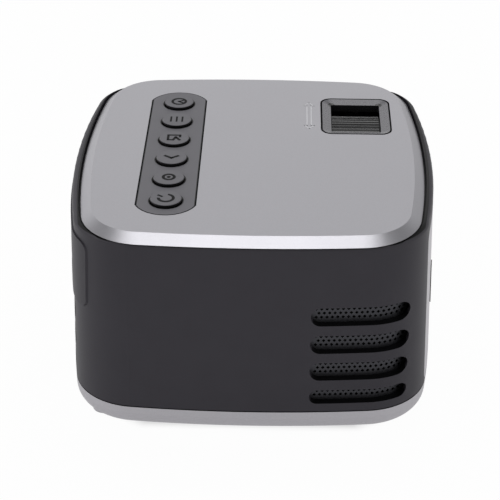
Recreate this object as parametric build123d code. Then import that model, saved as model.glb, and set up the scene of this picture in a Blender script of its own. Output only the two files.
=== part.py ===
from build123d import *
import os
from math import hypot, pi, radians, sin, sqrt, tan

# A small portable LED projector. Millimetres. The origin is on the surface it stands on, under the middle
# of its four feet. +X is the lens side, -X the socket side, -Y the speaker side and +Z is up.

# ---- Heights of the casing, above the feet ----
foot_height = 1.5
cover_height = 8.8
seam_gap = 0.4
deck_height = 70.0
rim_rise = 1.1
panel_rise = 2.0
base_z = foot_height
seam_z = base_z + cover_height
deck_z = base_z + deck_height
rim_z = deck_z + rim_rise
panel_z = deck_z + panel_rise

# ---- Outline of the casing at the seam: four shallow arcs with round corners ----
case_width = 125.4
case_depth = 126.2
side_radius = 262.7
end_radius = 409.4
corner_radius = 22.2
half_width = case_width / 2
half_depth = case_depth / 2
draft = 1.5
wall = 2.6
rim_round = 2.0
deck_thickness = 2.0
deck_inset = 4.5
past = 5.0
wall_reach = 20.0

# ---- Silver top cover ----
panel_side_margin = 4.75
panel_end_margin = 1.05
panel_width = case_width - 2 * panel_side_margin
panel_depth = case_depth - 2 * panel_end_margin
panel_side_radius = side_radius + 45.0
panel_end_radius = end_radius + 62.5
panel_corner = corner_radius - 1.2
bevel_side = 3.2
bevel_near = 5.3
bevel_far = 1.4
panel_lip = 0.4
rim_groove = 0.7
moat_inner = 0.3
moat_depth = 1.2
moat_wall = 0.8
skirt_gap = 0.2
skirt_wall = 1.4
skirt_depth = 3.3
hook_size = 8.0
hook_reach = 1.0
hook_height = 1.0
hook_gap = 0.15

# ---- Silver bottom cover ----
cover_floor = 2.2
cover_round = 6.0
cover_inner_slope = 2.2
tongue_gap = 0.15
tongue_wall = 1.2
tongue_rise = 2.5
tongue_root = 3.0
tongue_bite = 0.5
floor_slots = 6
floor_slot_width = 2.6
floor_slot_length = 28.0
floor_slot_pitch = 6.0
floor_slot_x = -24.0
floor_slot_y = -20.0

# ---- Feet, case screws and tripod nut ----
foot_radius = 5.5
foot_sunk = 0.6
foot_clearance = 0.1
foot_x = half_width - 21.7
foot_y = half_depth - 20.1
pillar_radius = 3.8
pillar_rise = 3.0
pillar_bite = 0.6
pillar_skirt_gap = 0.4
boss_radius = 2.9
well_wall = 1.2
well_roof = 1.4
speaker_pillar_x = half_width - 8.5
speaker_pillar_y = 30.1 - half_depth
lens_pillar_x = half_width - 26.7
lens_pillar_y = half_depth - 7.7
case_screw_radius = 1.5
case_screw_length = 16.0
case_screw_grip = 6.0
screw_room = 1.0
head_radius = 2.7
head_height = 1.8
head_clearance = 0.3
pilot_clearance = 0.05
shank_clearance = 0.2
cross_width = 0.8
cross_length = 3.2
cross_depth = 1.0
nut_radius = 4.8
nut_height = 8.0
nut_bore = 2.55
nut_boss_wall = 2.4
nut_clearance = 0.05

# ---- Speaker slots in the near wall; the far wall has the same slots as its air intake ----
slot_length = 32.3
slot_right = half_width - 10.7
slot_left = slot_right - slot_length
slot_heights = (44.9, 34.5, 24.2, 14.4)
slot_height = 6.7
low_slot_height = 5.2
mesh_gap = 0.1
mesh_thickness = 0.5
mesh_border = 1.6
mesh_pitch = 1.74
mesh_hole = 0.85
mesh_margin = 0.35
mesh_edge_gap = 0.1

# ---- Vent slots in the socket side ----
vent_spans = ((19.1 - half_depth, -4.0), (0.0, half_depth - 23.1))

# ---- Speaker ----
speaker_x = half_width - 29.7
speaker_z = 30.0
speaker_width = 34.0
speaker_tall = 42.0
speaker_flange = 2.0
speaker_seat = half_depth - 12.7
duct_wall = 1.6
cone_width = 27.0
cone_tall = 34.0
cone_gap = 0.6
cone_setback = 0.3
cone_taper = 55.0
cone_skin = 0.8
cone_depth = 4.2
basket_wall = 1.2
basket_taper = 18.0
speaker_corner = 2.0
basket_depth = 8.0
magnet_radius = 9.5
magnet_depth = 5.5
cone_travel = 0.5

# ---- Plates set into the side walls ----
plate_seat = 1.2
plate_gap = 0.1
port_plate_proud = 0.5
port_plate_near = 9.4 - half_depth
port_plate_far = 12.0
port_plate_low = deck_height - 28.0
port_plate_high = deck_height - 4.0
port_plate_corner = 3.0
port_window_rim = 3.4
port_window_near = -45.4
port_window_sill = 1.2
fascia_near = 19.1 - half_depth
fascia_far = half_depth - 11.1
fascia_high = deck_height - 4.0
fascia_corner = 3.0
receiver_y = -23.0
receiver_low = 28.0
receiver_high = 44.0
receiver_width = 5.0
receiver_proud = 0.3

# ---- Button panel and buttons ----
strip_x = -28.0
strip_width = 19.4
strip_near = -44.1
strip_far = 48.3
strip_end_rise = 6.6
strip_corner = 3.0
strip_gap = 0.25
strip_thickness = 1.5
strip_ledge = 2.2
strip_border = 2.0
ledge_thickness = 1.6
button_names = ("power", "ok", "next", "source", "menu", "back")
button_first = -34.5
button_pitch = 14.66
button_radius = 5.25
button_gap = 0.3
button_proud = 1.0
button_edge = 0.3
button_flange = 0.9
button_flange_thickness = 1.3
button_flange_gap = 0.2
button_travel = 0.6

# ---- Key board ----
stem_radius = 1.6
stem_clearance = 0.3
stem_length = 1.1
switch_size = 6.2
switch_height = 2.5
switch_top_gap = 0.2
switch_well = 1.2
key_board_thickness = 1.2
key_board_width = 27.0
key_board_near = -43.0
key_board_far = 48.0
key_boss_x = 11.2
key_boss_places = ((-1, -37.0), (1, -37.0), (-1, 43.0), (1, 6.0))
key_boss_radius = 2.2
key_screw_radius = 1.0
key_screw_length = 5.0
key_head_radius = 2.0
key_head_height = 1.2

# ---- Optical axis, focus window and focus wheel ----
axis_y = half_depth - 32.5
axis_height = deck_height - 20.4
axis_z = base_z + axis_height
window_x = half_width - 26.95
window_width = 24.6
window_depth = 28.8
window_corner = 4.0
window_open_width = 17.5
window_open_depth = 21.8
window_open_corner = 0.6
window_slope = 16.0
window_lip = 0.4
window_gap = 0.25
window_frame_low = deck_height - 1.4
window_flange = 0.8
window_flange_height = 1.2
wheel_radius = 20.0
wheel_side_gap = 0.3
wheel_bore = 16.6
wheel_teeth = 72
wheel_tooth_depth = 0.5
cam_floor = 18.3
cam_lead = 12.0
cam_turn = 200.0
cam_width = 3.2

# ---- Lens sleeve, barrel and glass ----
sleeve_outer = 16.52
sleeve_inner = 15.06
sleeve_back = window_x - 15.75
sleeve_front = window_x + 15.75
sleeve_flange = 2.0
sleeve_flange_radius = 20.0
sleeve_shoulder = 18.4
wheel_end_gap = 0.15
pin_radius = 1.35
pin_slot_clearance = 0.15
pin_slot_end_gap = 0.45
pin_inner = 13.75
pin_tip_gap = 0.35
focus_travel = 3.0
barrel_radius = 15.0
barrel_inner = 13.7
barrel_back = window_x - 6.75
barrel_front = window_x + 19.25
barrel_lip = 1.2
ring_radius = 18.8
ring_width = 1.6
ring_mouth = 9.0
ring_bore_gap = 0.08
lens_gap = 0.05
lens_places = ((-4.25, 3.0, 1.4), (4.75, 2.6, -0.9), (13.25, 3.4, 1.6))
bezel_outer = 17.0
bezel_inner = 15.7
bezel_mouth = 16.5
bezel_gap = 0.1
bezel_proud = 0.4
bezel_back = half_width - 10.9

# ---- Light engine ----
nose_front = sleeve_back - 2.0
nose_length = 9.0
box_length = 16.0
box_front = nose_front - nose_length
box_back = box_front - box_length
box_half_y = 20.5
box_half_z = 15.5
engine_wall = 1.6
cone_half = 7.0
nose_half_y = 15.0
nose_half_z = 13.0
engine_flange = 2.0
lamp_flange_half = 12.5
lid_thickness = 1.2
lid_opening = 12.4
frame_clearance = 0.2
rear_fresnel_x = box_back + 1.8
panel_x = box_back + 7.0
front_fresnel_x = box_front - 4.0
optic_thickness = 1.5
ear_reach = 8.0
foot_plate_thickness = 2.0
engine_post_x = 5.5
engine_post_out = 4.2
engine_post_radius = 3.2
post_screw_radius = 1.2
post_screw_length = 8.0
post_head_radius = 2.5
post_head_height = 1.6
led_board_half = 11.0
led_board_thickness = 1.6
emitter_size = 7.0
emitter_height = 1.0
dome_radius = 3.0
dome_height = 1.4
dome_edge = 0.7
condenser_shift = 1.0
condenser_gap = 0.3
condenser_edge = 1.6
condenser_bulge = 2.3

# ---- Heat sink and fan ----
sink_near = axis_y - 18.6
sink_far = axis_y + 14.6
sink_low = 14.0
sink_high = deck_height - 9.0
sink_base = 2.5
sink_fin = 6.0
fin_count = 9
fin_thickness = 1.2
fan_size = 40.0
fan_depth = 10.0
fan_sink_gap = 0.4
fan_back = 7.2 - half_width
fan_near = 0.0
fan_low = 4.4
fan_bore = 19.0
fan_corner = 2.5
fan_hole = 1.7
fan_hole_inset = 4.0
fan_hub = 9.0
fan_tip_gap = 0.8
fan_blades = 7
blade_angle = 38.0
blade_thickness = 1.1
blade_reach = 1.4
fan_arm = 2.2
fan_arm_thickness = 1.2
fan_pin_radius = 1.2
fan_pin_clearance = 0.06
fan_cup_wall = 1.2
fan_end_gap = 0.8
fan_bearing_wall = 1.4
rail_width = 2.0
rail_gap = 0.1
rail_rise = 6.0

# ---- Main board and sockets ----
board_z = deck_height - 24.4
board_thickness = 1.6
board_back = 8.3 - half_width
board_front = 12.0
board_near = -43.5
board_far = 6.0
board_posts = ((8.0, -39.5), (8.0, -2.5), (board_back + 13.4, -39.5), (board_back + 14.4, -2.5))
board_post_radius = 3.0
port_clearance = 0.3
port_recess = 0.6
video_y = -34.5
video_width = 15.0
video_height = 5.6
video_skin = 0.45
video_depth = 11.5
video_chamfer = 1.2
video_tongue = 10.0
tongue_setback = 1.0
tongue_thickness = 1.0
data_y = -18.5
data_width = 13.2
data_height = 5.8
data_skin = 0.45
data_depth = 14.0
data_back_wall = 1.5
data_tongue_thickness = 1.8
data_tongue_gap = 0.4
data_tongue_side_gap = 0.8
sound_y = -6.8
sound_width = 6.6
sound_height = 5.6
sound_depth = 12.0
sound_nose = 2.7
sound_nose_length = 2.2
sound_bore = 1.75
power_y = 2.2
power_width = 9.0
power_height = 10.6
power_depth = 13.0
power_bore = 2.75
power_pin = 1.0
power_bore_depth = 9.5
power_pin_setback = 0.8
card_width = 14.0
card_height = 1.9
card_depth = 15.0
card_slit_width = 11.4
card_slit_height = 0.9
chip_places = ((-18.0, -26.0, 14.0, 1.6), (-18.0, -6.0, 10.0, 1.2), (2.0, -24.0, 8.0, 1.2))


# ---------------------------------------------------------------- shared forms
def save(node, *pieces):
    """Write one sub-part: every solid in the pieces, kept apart."""
    solids = [solid for piece in pieces for solid in piece.solids()]
    export_step(solids[0] if len(solids) == 1 else Compound(solids), f"parts/{node}.step")


def block(x, y, z):
    """A box between two limits along each axis."""
    middle = Pos((x[0] + x[1]) / 2, (y[0] + y[1]) / 2, (z[0] + z[1]) / 2)
    return middle * Box(abs(x[1] - x[0]), abs(y[1] - y[0]), abs(z[1] - z[0]))


def upright(radius, x, y, low, high):
    """A round bar standing along Z between two heights."""
    return Pos(x, y, (low + high) / 2) * Cylinder(radius, high - low)


def rod_x(radius, start, end, y=axis_y, z=axis_z):
    """A round bar along X, on the optical axis unless told otherwise."""
    return Pos((start + end) / 2, y, z) * Rot(0, 90, 0) * Cylinder(radius, end - start)


def tube_x(outer, inner, start, end):
    """A tube along the optical axis."""
    return rod_x(outer, start, end) - rod_x(inner, start - past, end + past)


def arcs_meet(width, depth, side_arc, end_arc):
    """The point where an outline's side arc and end arc cross, before its corner is rounded."""
    side_centre = width / 2 - side_arc
    end_centre = depth / 2 - end_arc
    gap = hypot(side_centre, end_centre)
    along = (side_arc**2 - end_arc**2 + gap**2) / (2 * gap)
    across = sqrt(side_arc**2 - along**2)
    x = side_centre * (1 - along / gap) - across * end_centre / gap
    y = end_centre * along / gap - across * side_centre / gap
    return x, y


def pillow(width, depth, side_arc, end_arc, corner):
    """A rectangle whose four sides are shallow arcs and whose corners are round."""
    x, y = arcs_meet(width, depth, side_arc, end_arc)
    right = ThreePointArc((x, -y), (width / 2, 0), (x, y))
    far = ThreePointArc((x, y), (0, depth / 2), (-x, y))
    left = ThreePointArc((-x, y), (-width / 2, 0), (-x, -y))
    near = ThreePointArc((-x, -y), (0, -depth / 2), (x, -y))
    face = Face(Wire([right, far, left, near]))
    return face.fillet_2d(corner, face.vertices())


def corner_middle():
    """Centre of the casing's round corner: where its arcs meet when drawn in by its radius."""
    return arcs_meet(
        case_width - 2 * corner_radius,
        case_depth - 2 * corner_radius,
        side_radius - corner_radius,
        end_radius - corner_radius,
    )


def case_outline(inset):
    """The casing's outline at the seam, drawn in by inset all round."""
    return pillow(
        case_width - 2 * inset,
        case_depth - 2 * inset,
        side_radius - inset,
        end_radius - inset,
        corner_radius - inset,
    )


def panel_outline(inset):
    """The top cover's outline, drawn in by inset all round."""
    return pillow(
        panel_width - 2 * inset,
        panel_depth - 2 * inset,
        panel_side_radius - inset,
        panel_end_radius - inset,
        panel_corner - inset,
    )


def draw_in(height):
    """How far the draft has drawn the wall in at a height."""
    return (height - seam_z) * tan(radians(draft))


def case_prism(inset, low, high):
    """The casing's drafted form between two heights, its walls moved in by inset."""
    return extrude(Pos(0, 0, low) * case_outline(inset + draw_in(low)), amount=high - low, taper=draft)


def case_band(outer_inset, inner_inset, low, high):
    """A drafted skin of the casing between two depths and two heights."""
    return case_prism(outer_inset, low, high) - case_prism(inner_inset, low - 1, high + 1)


def side_face_x(y, z):
    """Distance of the casing's side face from the middle plane, at a place on the side arc."""
    side_centre = case_width / 2 - side_radius
    return side_centre + sqrt((side_radius - draw_in(z)) ** 2 - y**2)


def side_prism(side, y, z, corner, reach=wall_reach):
    """A rounded rectangle in the YZ plane, pushed outward through one side wall."""
    start = half_width - reach
    shape = Pos((y[0] + y[1]) / 2, (z[0] + z[1]) / 2) * RectangleRounded(y[1] - y[0], z[1] - z[0], corner)
    return extrude(Plane.YZ.offset(side * start) * shape, amount=side * 2 * reach)


def strip_outline(grow):
    """The button panel's outline: straight sides, arched ends and small corners."""
    half = strip_width / 2 + grow
    near = strip_near - grow
    far = strip_far + grow
    low = near + strip_end_rise
    high = far - strip_end_rise
    near_end = ThreePointArc((strip_x - half, low), (strip_x, near), (strip_x + half, low))
    right = Line((strip_x + half, low), (strip_x + half, high))
    far_end = ThreePointArc((strip_x + half, high), (strip_x, far), (strip_x - half, high))
    left = Line((strip_x - half, high), (strip_x - half, low))
    face = Face(Wire([near_end, right, far_end, left]))
    return face.fillet_2d(strip_corner + grow, face.vertices())


def window_outline(width, depth, corner):
    """A rounded rectangle centred on the focus window."""
    return Pos(window_x, axis_y) * RectangleRounded(width, depth, corner)


def prism(face, low, high):
    """A flat outline pushed straight up between two heights."""
    return extrude(Pos(0, 0, low) * face, amount=high - low)


def screw(shank, length, head, thickness):
    """A pan head screw along Z: its head's seat is at the origin and its shank points up."""
    cap = Pos(0, 0, -thickness / 2) * Cylinder(head, thickness)
    return cap + Pos(0, 0, length / 2) * Cylinder(shank, length)


corner_x, corner_y = corner_middle()
pillar_out = (corner_radius - wall - pillar_radius + pillar_bite) / sqrt(2)
pillar_places = (
    (-corner_x - pillar_out, -corner_y - pillar_out),
    (-corner_x - pillar_out, corner_y + pillar_out),
    (lens_pillar_x, lens_pillar_y),
    (speaker_pillar_x, speaker_pillar_y),
)
pillar_low = seam_z + pillar_rise
pillar_high = deck_z - skirt_depth - pillar_skirt_gap
deck_under = deck_z - deck_thickness
foot_places = [(sx * foot_x, sy * foot_y) for sx in (-1, 1) for sy in (-1, 1)]


# ---------------------------------------------------------------- casing
def wall_slots():
    """Cutters for the four round-ended slots of the near wall."""
    cutters = []
    middle = (slot_left + slot_right) / 2
    for height in slot_heights:
        tall = low_slot_height if height == slot_heights[-1] else slot_height
        shape = Pos(middle, base_z + height) * SlotOverall(slot_right - slot_left, tall)
        cutters.append(extrude(Plane.XZ.offset(half_depth - wall_reach) * shape, amount=2 * wall_reach))
    return cutters


def vent_slots():
    """Cutters for the rows of vent slots below the sockets."""
    cutters = []
    for height in slot_heights[1:]:
        tall = low_slot_height if height == slot_heights[-1] else slot_height
        for near, far in vent_spans:
            shape = Pos((near + far) / 2, base_z + height) * SlotOverall(far - near, tall)
            cutters.append(extrude(Plane.YZ.offset(wall_reach - half_width) * shape, amount=-2 * wall_reach))
    return cutters


def plate_prism(gap):
    """Edge form of the socket plate."""
    y = (port_plate_near - gap, port_plate_far + gap)
    z = (base_z + port_plate_low - gap, base_z + port_plate_high + gap)
    return side_prism(-1, y, z, port_plate_corner + gap)


def fascia_prism(gap):
    """Edge form of the front fascia."""
    y = (fascia_near - gap, fascia_far + gap)
    z = (seam_z + seam_gap - gap, base_z + fascia_high + gap)
    return side_prism(1, y, z, fascia_corner + gap)


def receiver_prism(gap):
    """Edge form of the remote control's receiver window."""
    y = (receiver_y - receiver_width / 2 - gap, receiver_y + receiver_width / 2 + gap)
    z = (base_z + receiver_low - gap, base_z + receiver_high + gap)
    return side_prism(1, y, z, receiver_width / 2 - 0.1)


def make_body_shell():
    outer = case_prism(0, seam_z, rim_z)
    shell = fillet(outer.edges().group_by(Axis.Z)[-1], rim_round)
    shell -= case_prism(wall, seam_z, deck_under)
    shell -= prism(case_outline(deck_inset + wall), deck_under - 1, rim_z + 1)
    shell -= prism(panel_outline(-rim_groove), deck_z, rim_z + 1)
    moat = prism(panel_outline(-rim_groove), deck_z - moat_depth, deck_z + 1)
    moat -= prism(panel_outline(moat_inner), deck_z - past, deck_z + past)
    shell -= moat & case_prism(moat_wall, deck_z - past, rim_z)
    for x, y in pillar_places:
        shell += upright(pillar_radius, x, y, pillar_low, pillar_high)
    depth = case_screw_length - case_screw_grip + screw_room
    for x, y in pillar_places:
        shell -= upright(case_screw_radius + pilot_clearance, x, y, pillar_low, pillar_low + depth)
    slots = wall_slots()
    shell -= slots
    shell -= [Rot(0, 0, 180) * cutter for cutter in slots]
    shell -= vent_slots()
    skin = case_prism(plate_seat + plate_gap, seam_z - 1, rim_z)
    shell -= plate_prism(plate_gap) - skin
    shell -= fascia_prism(plate_gap) - skin
    window_y = (port_window_near, port_plate_far - port_window_rim)
    window_z = (base_z + port_plate_low + port_window_sill, base_z + port_plate_high - port_window_rim)
    shell -= side_prism(-1, window_y, window_z, port_plate_corner)
    shell -= receiver_prism(plate_gap)
    shell -= rod_x(bezel_outer + bezel_gap, bezel_back - 1, half_width + 1)
    return shell + speaker_duct()


def speaker_duct():
    """Three ribs behind the near wall that carry the mesh's edge and the speaker's flange."""
    left = speaker_x - speaker_width / 2
    right = speaker_x + speaker_width / 2
    low = base_z + speaker_z - speaker_tall / 2
    high = base_z + speaker_z + speaker_tall / 2
    ribs = [
        block((left, left + duct_wall), (-case_depth / 2, -speaker_seat), (low, high)),
        block((left, right), (-case_depth / 2, -speaker_seat), (high - duct_wall, high)),
        block((left, right), (-case_depth / 2, -speaker_seat), (low, low + duct_wall)),
    ]
    inside = case_prism(wall / 2, seam_z, deck_z)
    return [rib & inside for rib in ribs]


def make_top_cover():
    top = Pos(0, (bevel_near - bevel_far) / 2) * pillow(
        panel_width - 2 * bevel_side,
        panel_depth - bevel_near - bevel_far,
        panel_side_radius - bevel_side,
        panel_end_radius - bevel_near,
        panel_corner - (bevel_side + bevel_near) / 2,
    )
    lip_z = deck_z + panel_lip
    cover = prism(panel_outline(0), deck_z, lip_z)
    cover += loft([Pos(0, 0, lip_z) * panel_outline(0), Pos(0, 0, panel_z) * top], ruled=True)
    skirt = deck_inset + wall + skirt_gap
    ring = prism(case_outline(skirt), deck_z - skirt_depth, deck_z)
    cover += ring - prism(case_outline(skirt + skirt_wall), deck_z - skirt_depth, deck_z)
    cover += hooks(skirt)
    strip_low = panel_z - strip_thickness
    cover += prism(strip_outline(strip_border), strip_low - ledge_thickness, deck_z)
    for side, y in key_boss_places:
        cover += upright(key_boss_radius, strip_x + side * key_boss_x, y, key_board_top, deck_z)
    cover -= prism(strip_outline(strip_gap), strip_low, panel_z + 1)
    cover -= prism(strip_outline(-strip_ledge), strip_low - past, panel_z + 1)
    for side, y in key_boss_places:
        top_of_hole = key_board_top + key_screw_length
        x = strip_x + side * key_boss_x
        cover -= upright(key_screw_radius + pilot_clearance, x, y, key_board_top, top_of_hole)
    grown = window_outline(window_width + 2 * window_gap, window_depth + 2 * window_gap, window_corner)
    return cover - prism(grown, deck_z - past, panel_z + 1)


def hooks(skirt):
    """Snap hooks on the top cover's skirt that catch under the deck."""
    high = deck_under - hook_gap
    low = high - hook_height
    x = half_width - skirt
    y = half_depth - skirt
    catches = []
    for turn in (-1, 1):
        inner = turn * (x - skirt_wall)
        catches.append(block((inner, turn * (x + hook_reach)), (-hook_size / 2, hook_size / 2), (low, high)))
        inner = turn * (y - skirt_wall)
        catches.append(block((-hook_size / 2, hook_size / 2), (inner, turn * (y + hook_reach)), (low, high)))
    return catches


def make_bottom_cover():
    top = seam_z - seam_gap
    cover = prism(case_outline(0), base_z, top)
    cover = fillet(cover.edges().group_by(Axis.Z)[0], cover_round)
    hollow = prism(case_outline(wall), base_z + cover_floor, top + past)
    cover -= chamfer(hollow.edges().group_by(Axis.Z)[0], cover_inner_slope)
    inner = wall + tongue_gap + tongue_wall
    tongue = prism(case_outline(wall + tongue_gap), top - tongue_root, seam_z + tongue_rise)
    root = prism(case_outline(wall - tongue_bite), top - tongue_root, top)
    duct_left = speaker_x - speaker_width / 2 - 1
    duct = block((duct_left, case_width), (-case_depth, past - speaker_seat), (seam_z - 1, seam_z + past))
    tongue = tongue + root - prism(case_outline(inner), base_z, seam_z + past) - duct
    cover += tongue
    floor = base_z + cover_floor / 2
    head_seat = pillar_low - case_screw_grip
    well_radius = head_radius + head_clearance + well_wall
    for x, y in pillar_places:
        cover += upright(well_radius, x, y, floor, head_seat + well_roof)
        cover += upright(boss_radius, x, y, head_seat, pillar_low)
    for x, y in board_posts:
        cover += upright(board_post_radius, x, y, floor, base_z + board_z)
    for x, y in engine_posts:
        cover += upright(engine_post_radius, x, y, floor, engine_low)
    cover += upright(nut_radius + nut_boss_wall, 0, 0, floor, base_z + nut_height + 1)
    for y in (fan_near, fan_near + fan_size):
        inner = rail_gap if y > fan_near else -rail_gap
        edge = y + inner
        outer = edge + rail_width if y > fan_near else edge - rail_width
        cover += block((fan_x[0], fan_x[1]), (edge, outer), (floor, base_z + fan_low + rail_rise))
    cover += block(fan_x, (fan_near, fan_near + rail_width), (floor, base_z + fan_low))
    cover += block(fan_x, (fan_near + fan_size - rail_width, fan_near + fan_size), (floor, base_z + fan_low))
    for x, y in pillar_places:
        cover -= upright(head_radius + head_clearance, x, y, base_z - 1, head_seat)
        cover -= upright(case_screw_radius + shank_clearance, x, y, base_z, pillar_low + 1)
    for x, y in board_posts:
        high = base_z + board_z
        cover -= upright(post_screw_radius + pilot_clearance, x, y, high - post_screw_length, high + 1)
    for x, y in engine_posts:
        bottom = engine_low - post_screw_length
        cover -= upright(post_screw_radius + pilot_clearance, x, y, bottom, engine_low + 1)
    cover -= upright(nut_radius + nut_clearance, 0, 0, base_z - 1, base_z + nut_height)
    for x, y in foot_places:
        cover -= upright(foot_radius + foot_clearance, x, y, base_z - 1, base_z + foot_sunk)
    for count in range(floor_slots):
        x = floor_slot_x + (count - (floor_slots - 1) / 2) * floor_slot_pitch
        slot = Pos(x, floor_slot_y) * Rot(0, 0, 90) * SlotOverall(floor_slot_length, floor_slot_width)
        cover -= prism(slot, base_z - 1, base_z + cover_floor + 0.5)
    return cover


def make_feet():
    return [upright(foot_radius, x, y, 0, base_z + foot_sunk) for x, y in foot_places]


def make_base_screws():
    seat = pillar_low - case_screw_grip
    recess = block((-cross_length / 2, cross_length / 2), (-cross_width / 2, cross_width / 2), (-5, 0))
    cross = Pos(0, 0, cross_depth - head_height) * (recess + Rot(0, 0, 90) * recess)
    one = screw(case_screw_radius, case_screw_length, head_radius, head_height) - cross
    return [Pos(x, y, seat) * one for x, y in pillar_places]


def make_tripod_nut():
    nut = upright(nut_radius, 0, 0, base_z, base_z + nut_height)
    return nut - upright(nut_bore, 0, 0, base_z - 1, base_z + nut_height + 1)


# ---------------------------------------------------------------- side plates
def make_front_fascia():
    plate = fascia_prism(0) & case_band(0, plate_seat, seam_z - 1, rim_z)
    plate -= receiver_prism(plate_gap)
    return plate - rod_x(bezel_outer + bezel_gap, bezel_back, half_width + past)


def make_port_plate():
    plate = plate_prism(0) & case_band(-port_plate_proud, plate_seat, seam_z, rim_z)
    board_top = base_z + board_z + board_thickness
    rows = (
        (video_y, video_width, board_top, video_height),
        (data_y, data_width, board_top, data_height),
        (power_y, power_width, board_top, power_height),
        (data_y, card_width, base_z + board_z - card_height, card_height),
    )
    for y, width, low, height in rows:
        across = (y - width / 2 - port_clearance, y + width / 2 + port_clearance)
        plate -= side_prism(-1, across, (low - port_clearance, low + height + port_clearance), 0.5)
    nose = sound_nose + port_clearance
    middle = board_top + sound_height / 2
    return plate - rod_x(nose, -case_width, wall_reach - half_width, sound_y, middle)


def make_ir_window():
    return receiver_prism(0) & case_band(-receiver_proud, wall, seam_z, rim_z)


def make_lens_bezel():
    ring = rod_x(bezel_outer, bezel_back, half_width + past)
    bore = Pos(bezel_back, axis_y, axis_z) * Rot(0, 90, 0)
    length = half_width + past - bezel_back
    ring -= bore * Pos(0, 0, length / 2) * Cone(bezel_inner, bezel_mouth, length)
    return ring & case_prism(-bezel_proud, seam_z, rim_z)


# ---------------------------------------------------------------- speaker
def make_speaker_mesh():
    outer = wall + mesh_gap
    inner = outer + mesh_thickness
    left = speaker_x - speaker_width / 2 + duct_wall + mesh_edge_gap
    low = base_z + speaker_z - speaker_tall / 2 + duct_wall + mesh_edge_gap
    high = base_z + speaker_z + speaker_tall / 2 - duct_wall - mesh_edge_gap
    right = slot_right + mesh_border
    sheet = case_band(outer, inner, seam_z, deck_under)
    sheet &= block((left, right), (-case_depth, -case_depth / 4), (low, high))
    hole = Rot(0, 0, 45) * Rectangle(mesh_hole, mesh_hole)
    holes = []
    row_step = mesh_pitch * sin(pi / 3)
    for height in slot_heights:
        tall = low_slot_height if height == slot_heights[-1] else slot_height
        rows = int((tall - 2 * mesh_margin) / row_step)
        for row in range(rows):
            rise = (row - (rows - 1) / 2) * row_step
            half = tall / 2
            reach = (slot_right - slot_left) / 2 - half + sqrt(half**2 - rise**2) - mesh_hole / sqrt(2)
            shift = mesh_pitch / 4 * (1 if row % 2 else -1)
            count = int(reach / mesh_pitch)
            for step in range(-count, count + 1):
                x = (slot_left + slot_right) / 2 + step * mesh_pitch + shift
                holes.append(Pos(x, base_z + height + rise) * hole)
    cutter = extrude(Plane.XZ.offset(case_depth / 4) * Sketch(children=holes), amount=case_depth / 2)
    return sheet - cutter


def speaker_face(depth):
    """The plane behind the near wall at a depth from the speaker's seat, looking outward."""
    return Plane.XZ.offset(speaker_seat - depth) * Pos(speaker_x, base_z + speaker_z)


def cone_shape(grow):
    """The cone's outline, with straight sides and round ends, grown all round."""
    return SlotOverall(cone_tall + 2 * grow, cone_width + 2 * grow, 90)


def make_speaker_frame():
    plate = RectangleRounded(speaker_width, speaker_tall, speaker_corner)
    frame = extrude(speaker_face(0) * plate, amount=-speaker_flange)
    basket = speaker_face(speaker_flange)
    frame += extrude(basket * cone_shape(basket_wall), amount=-basket_depth, taper=basket_taper)
    frame -= extrude(speaker_face(-1) * cone_shape(cone_gap), amount=-speaker_flange - 1)
    deep = basket_depth - basket_wall
    return frame - extrude(basket * cone_shape(cone_gap), amount=-deep, taper=basket_taper)


def make_speaker_cone():
    start = cone_travel + cone_setback
    outer = speaker_face(start) * cone_shape(0)
    inner = speaker_face(start - cone_skin) * cone_shape(0)
    skin = extrude(outer, amount=-cone_depth, taper=cone_taper)
    return skin - extrude(inner, amount=-cone_depth, taper=cone_taper)


def make_speaker_magnet():
    depth = speaker_flange + basket_depth
    return extrude(speaker_face(depth) * Circle(magnet_radius), amount=-magnet_depth)


# ---------------------------------------------------------------- buttons and key board
strip_low_z = panel_z - strip_thickness
button_flange_top = strip_low_z - button_flange_gap
button_flange_low = button_flange_top - button_flange_thickness
switch_top = button_flange_low - button_travel - switch_top_gap
key_board_top = switch_top - switch_height
button_places = [(strip_x, button_first + count * button_pitch) for count in range(len(button_names))]


def make_button_panel():
    panel = prism(strip_outline(0), strip_low_z, panel_z)
    for x, y in button_places:
        panel -= upright(button_radius + button_gap, x, y, strip_low_z - 1, panel_z + 1)
    return panel


def make_button(x, y):
    cap = upright(button_radius, x, y, button_flange_low, panel_z + button_proud)
    cap = chamfer(cap.edges().group_by(Axis.Z)[-1], button_edge)
    cap += upright(button_radius + button_flange, x, y, button_flange_low, button_flange_top)
    return cap + upright(stem_radius, x, y, button_flange_low - stem_length, button_flange_low)


def make_key_board():
    half = key_board_width / 2
    board = block(
        (strip_x - half, strip_x + half),
        (key_board_near, key_board_far),
        (key_board_top - key_board_thickness, key_board_top),
    )
    for side, y in key_boss_places:
        x = strip_x + side * key_boss_x
        board -= upright(key_screw_radius + shank_clearance, x, y, key_board_top - past, key_board_top + 1)
    return board


def make_key_switches():
    switches = []
    half = switch_size / 2
    for x, y in button_places:
        body = block((x - half, x + half), (y - half, y + half), (key_board_top, switch_top))
        well = upright(stem_radius + stem_clearance, x, y, switch_top - switch_well, switch_top + 1)
        switches.append(body - well)
    return switches


def make_key_board_screws():
    one = screw(key_screw_radius, key_screw_length, key_head_radius, key_head_height)
    seat = key_board_top - key_board_thickness
    return [Pos(strip_x + side * key_boss_x, y, seat) * one for side, y in key_boss_places]


# ---------------------------------------------------------------- focus window, wheel and lens
wheel_width = window_open_width - 2 * wheel_side_gap
wheel_back = window_x - wheel_width / 2
wheel_front = window_x + wheel_width / 2


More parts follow.
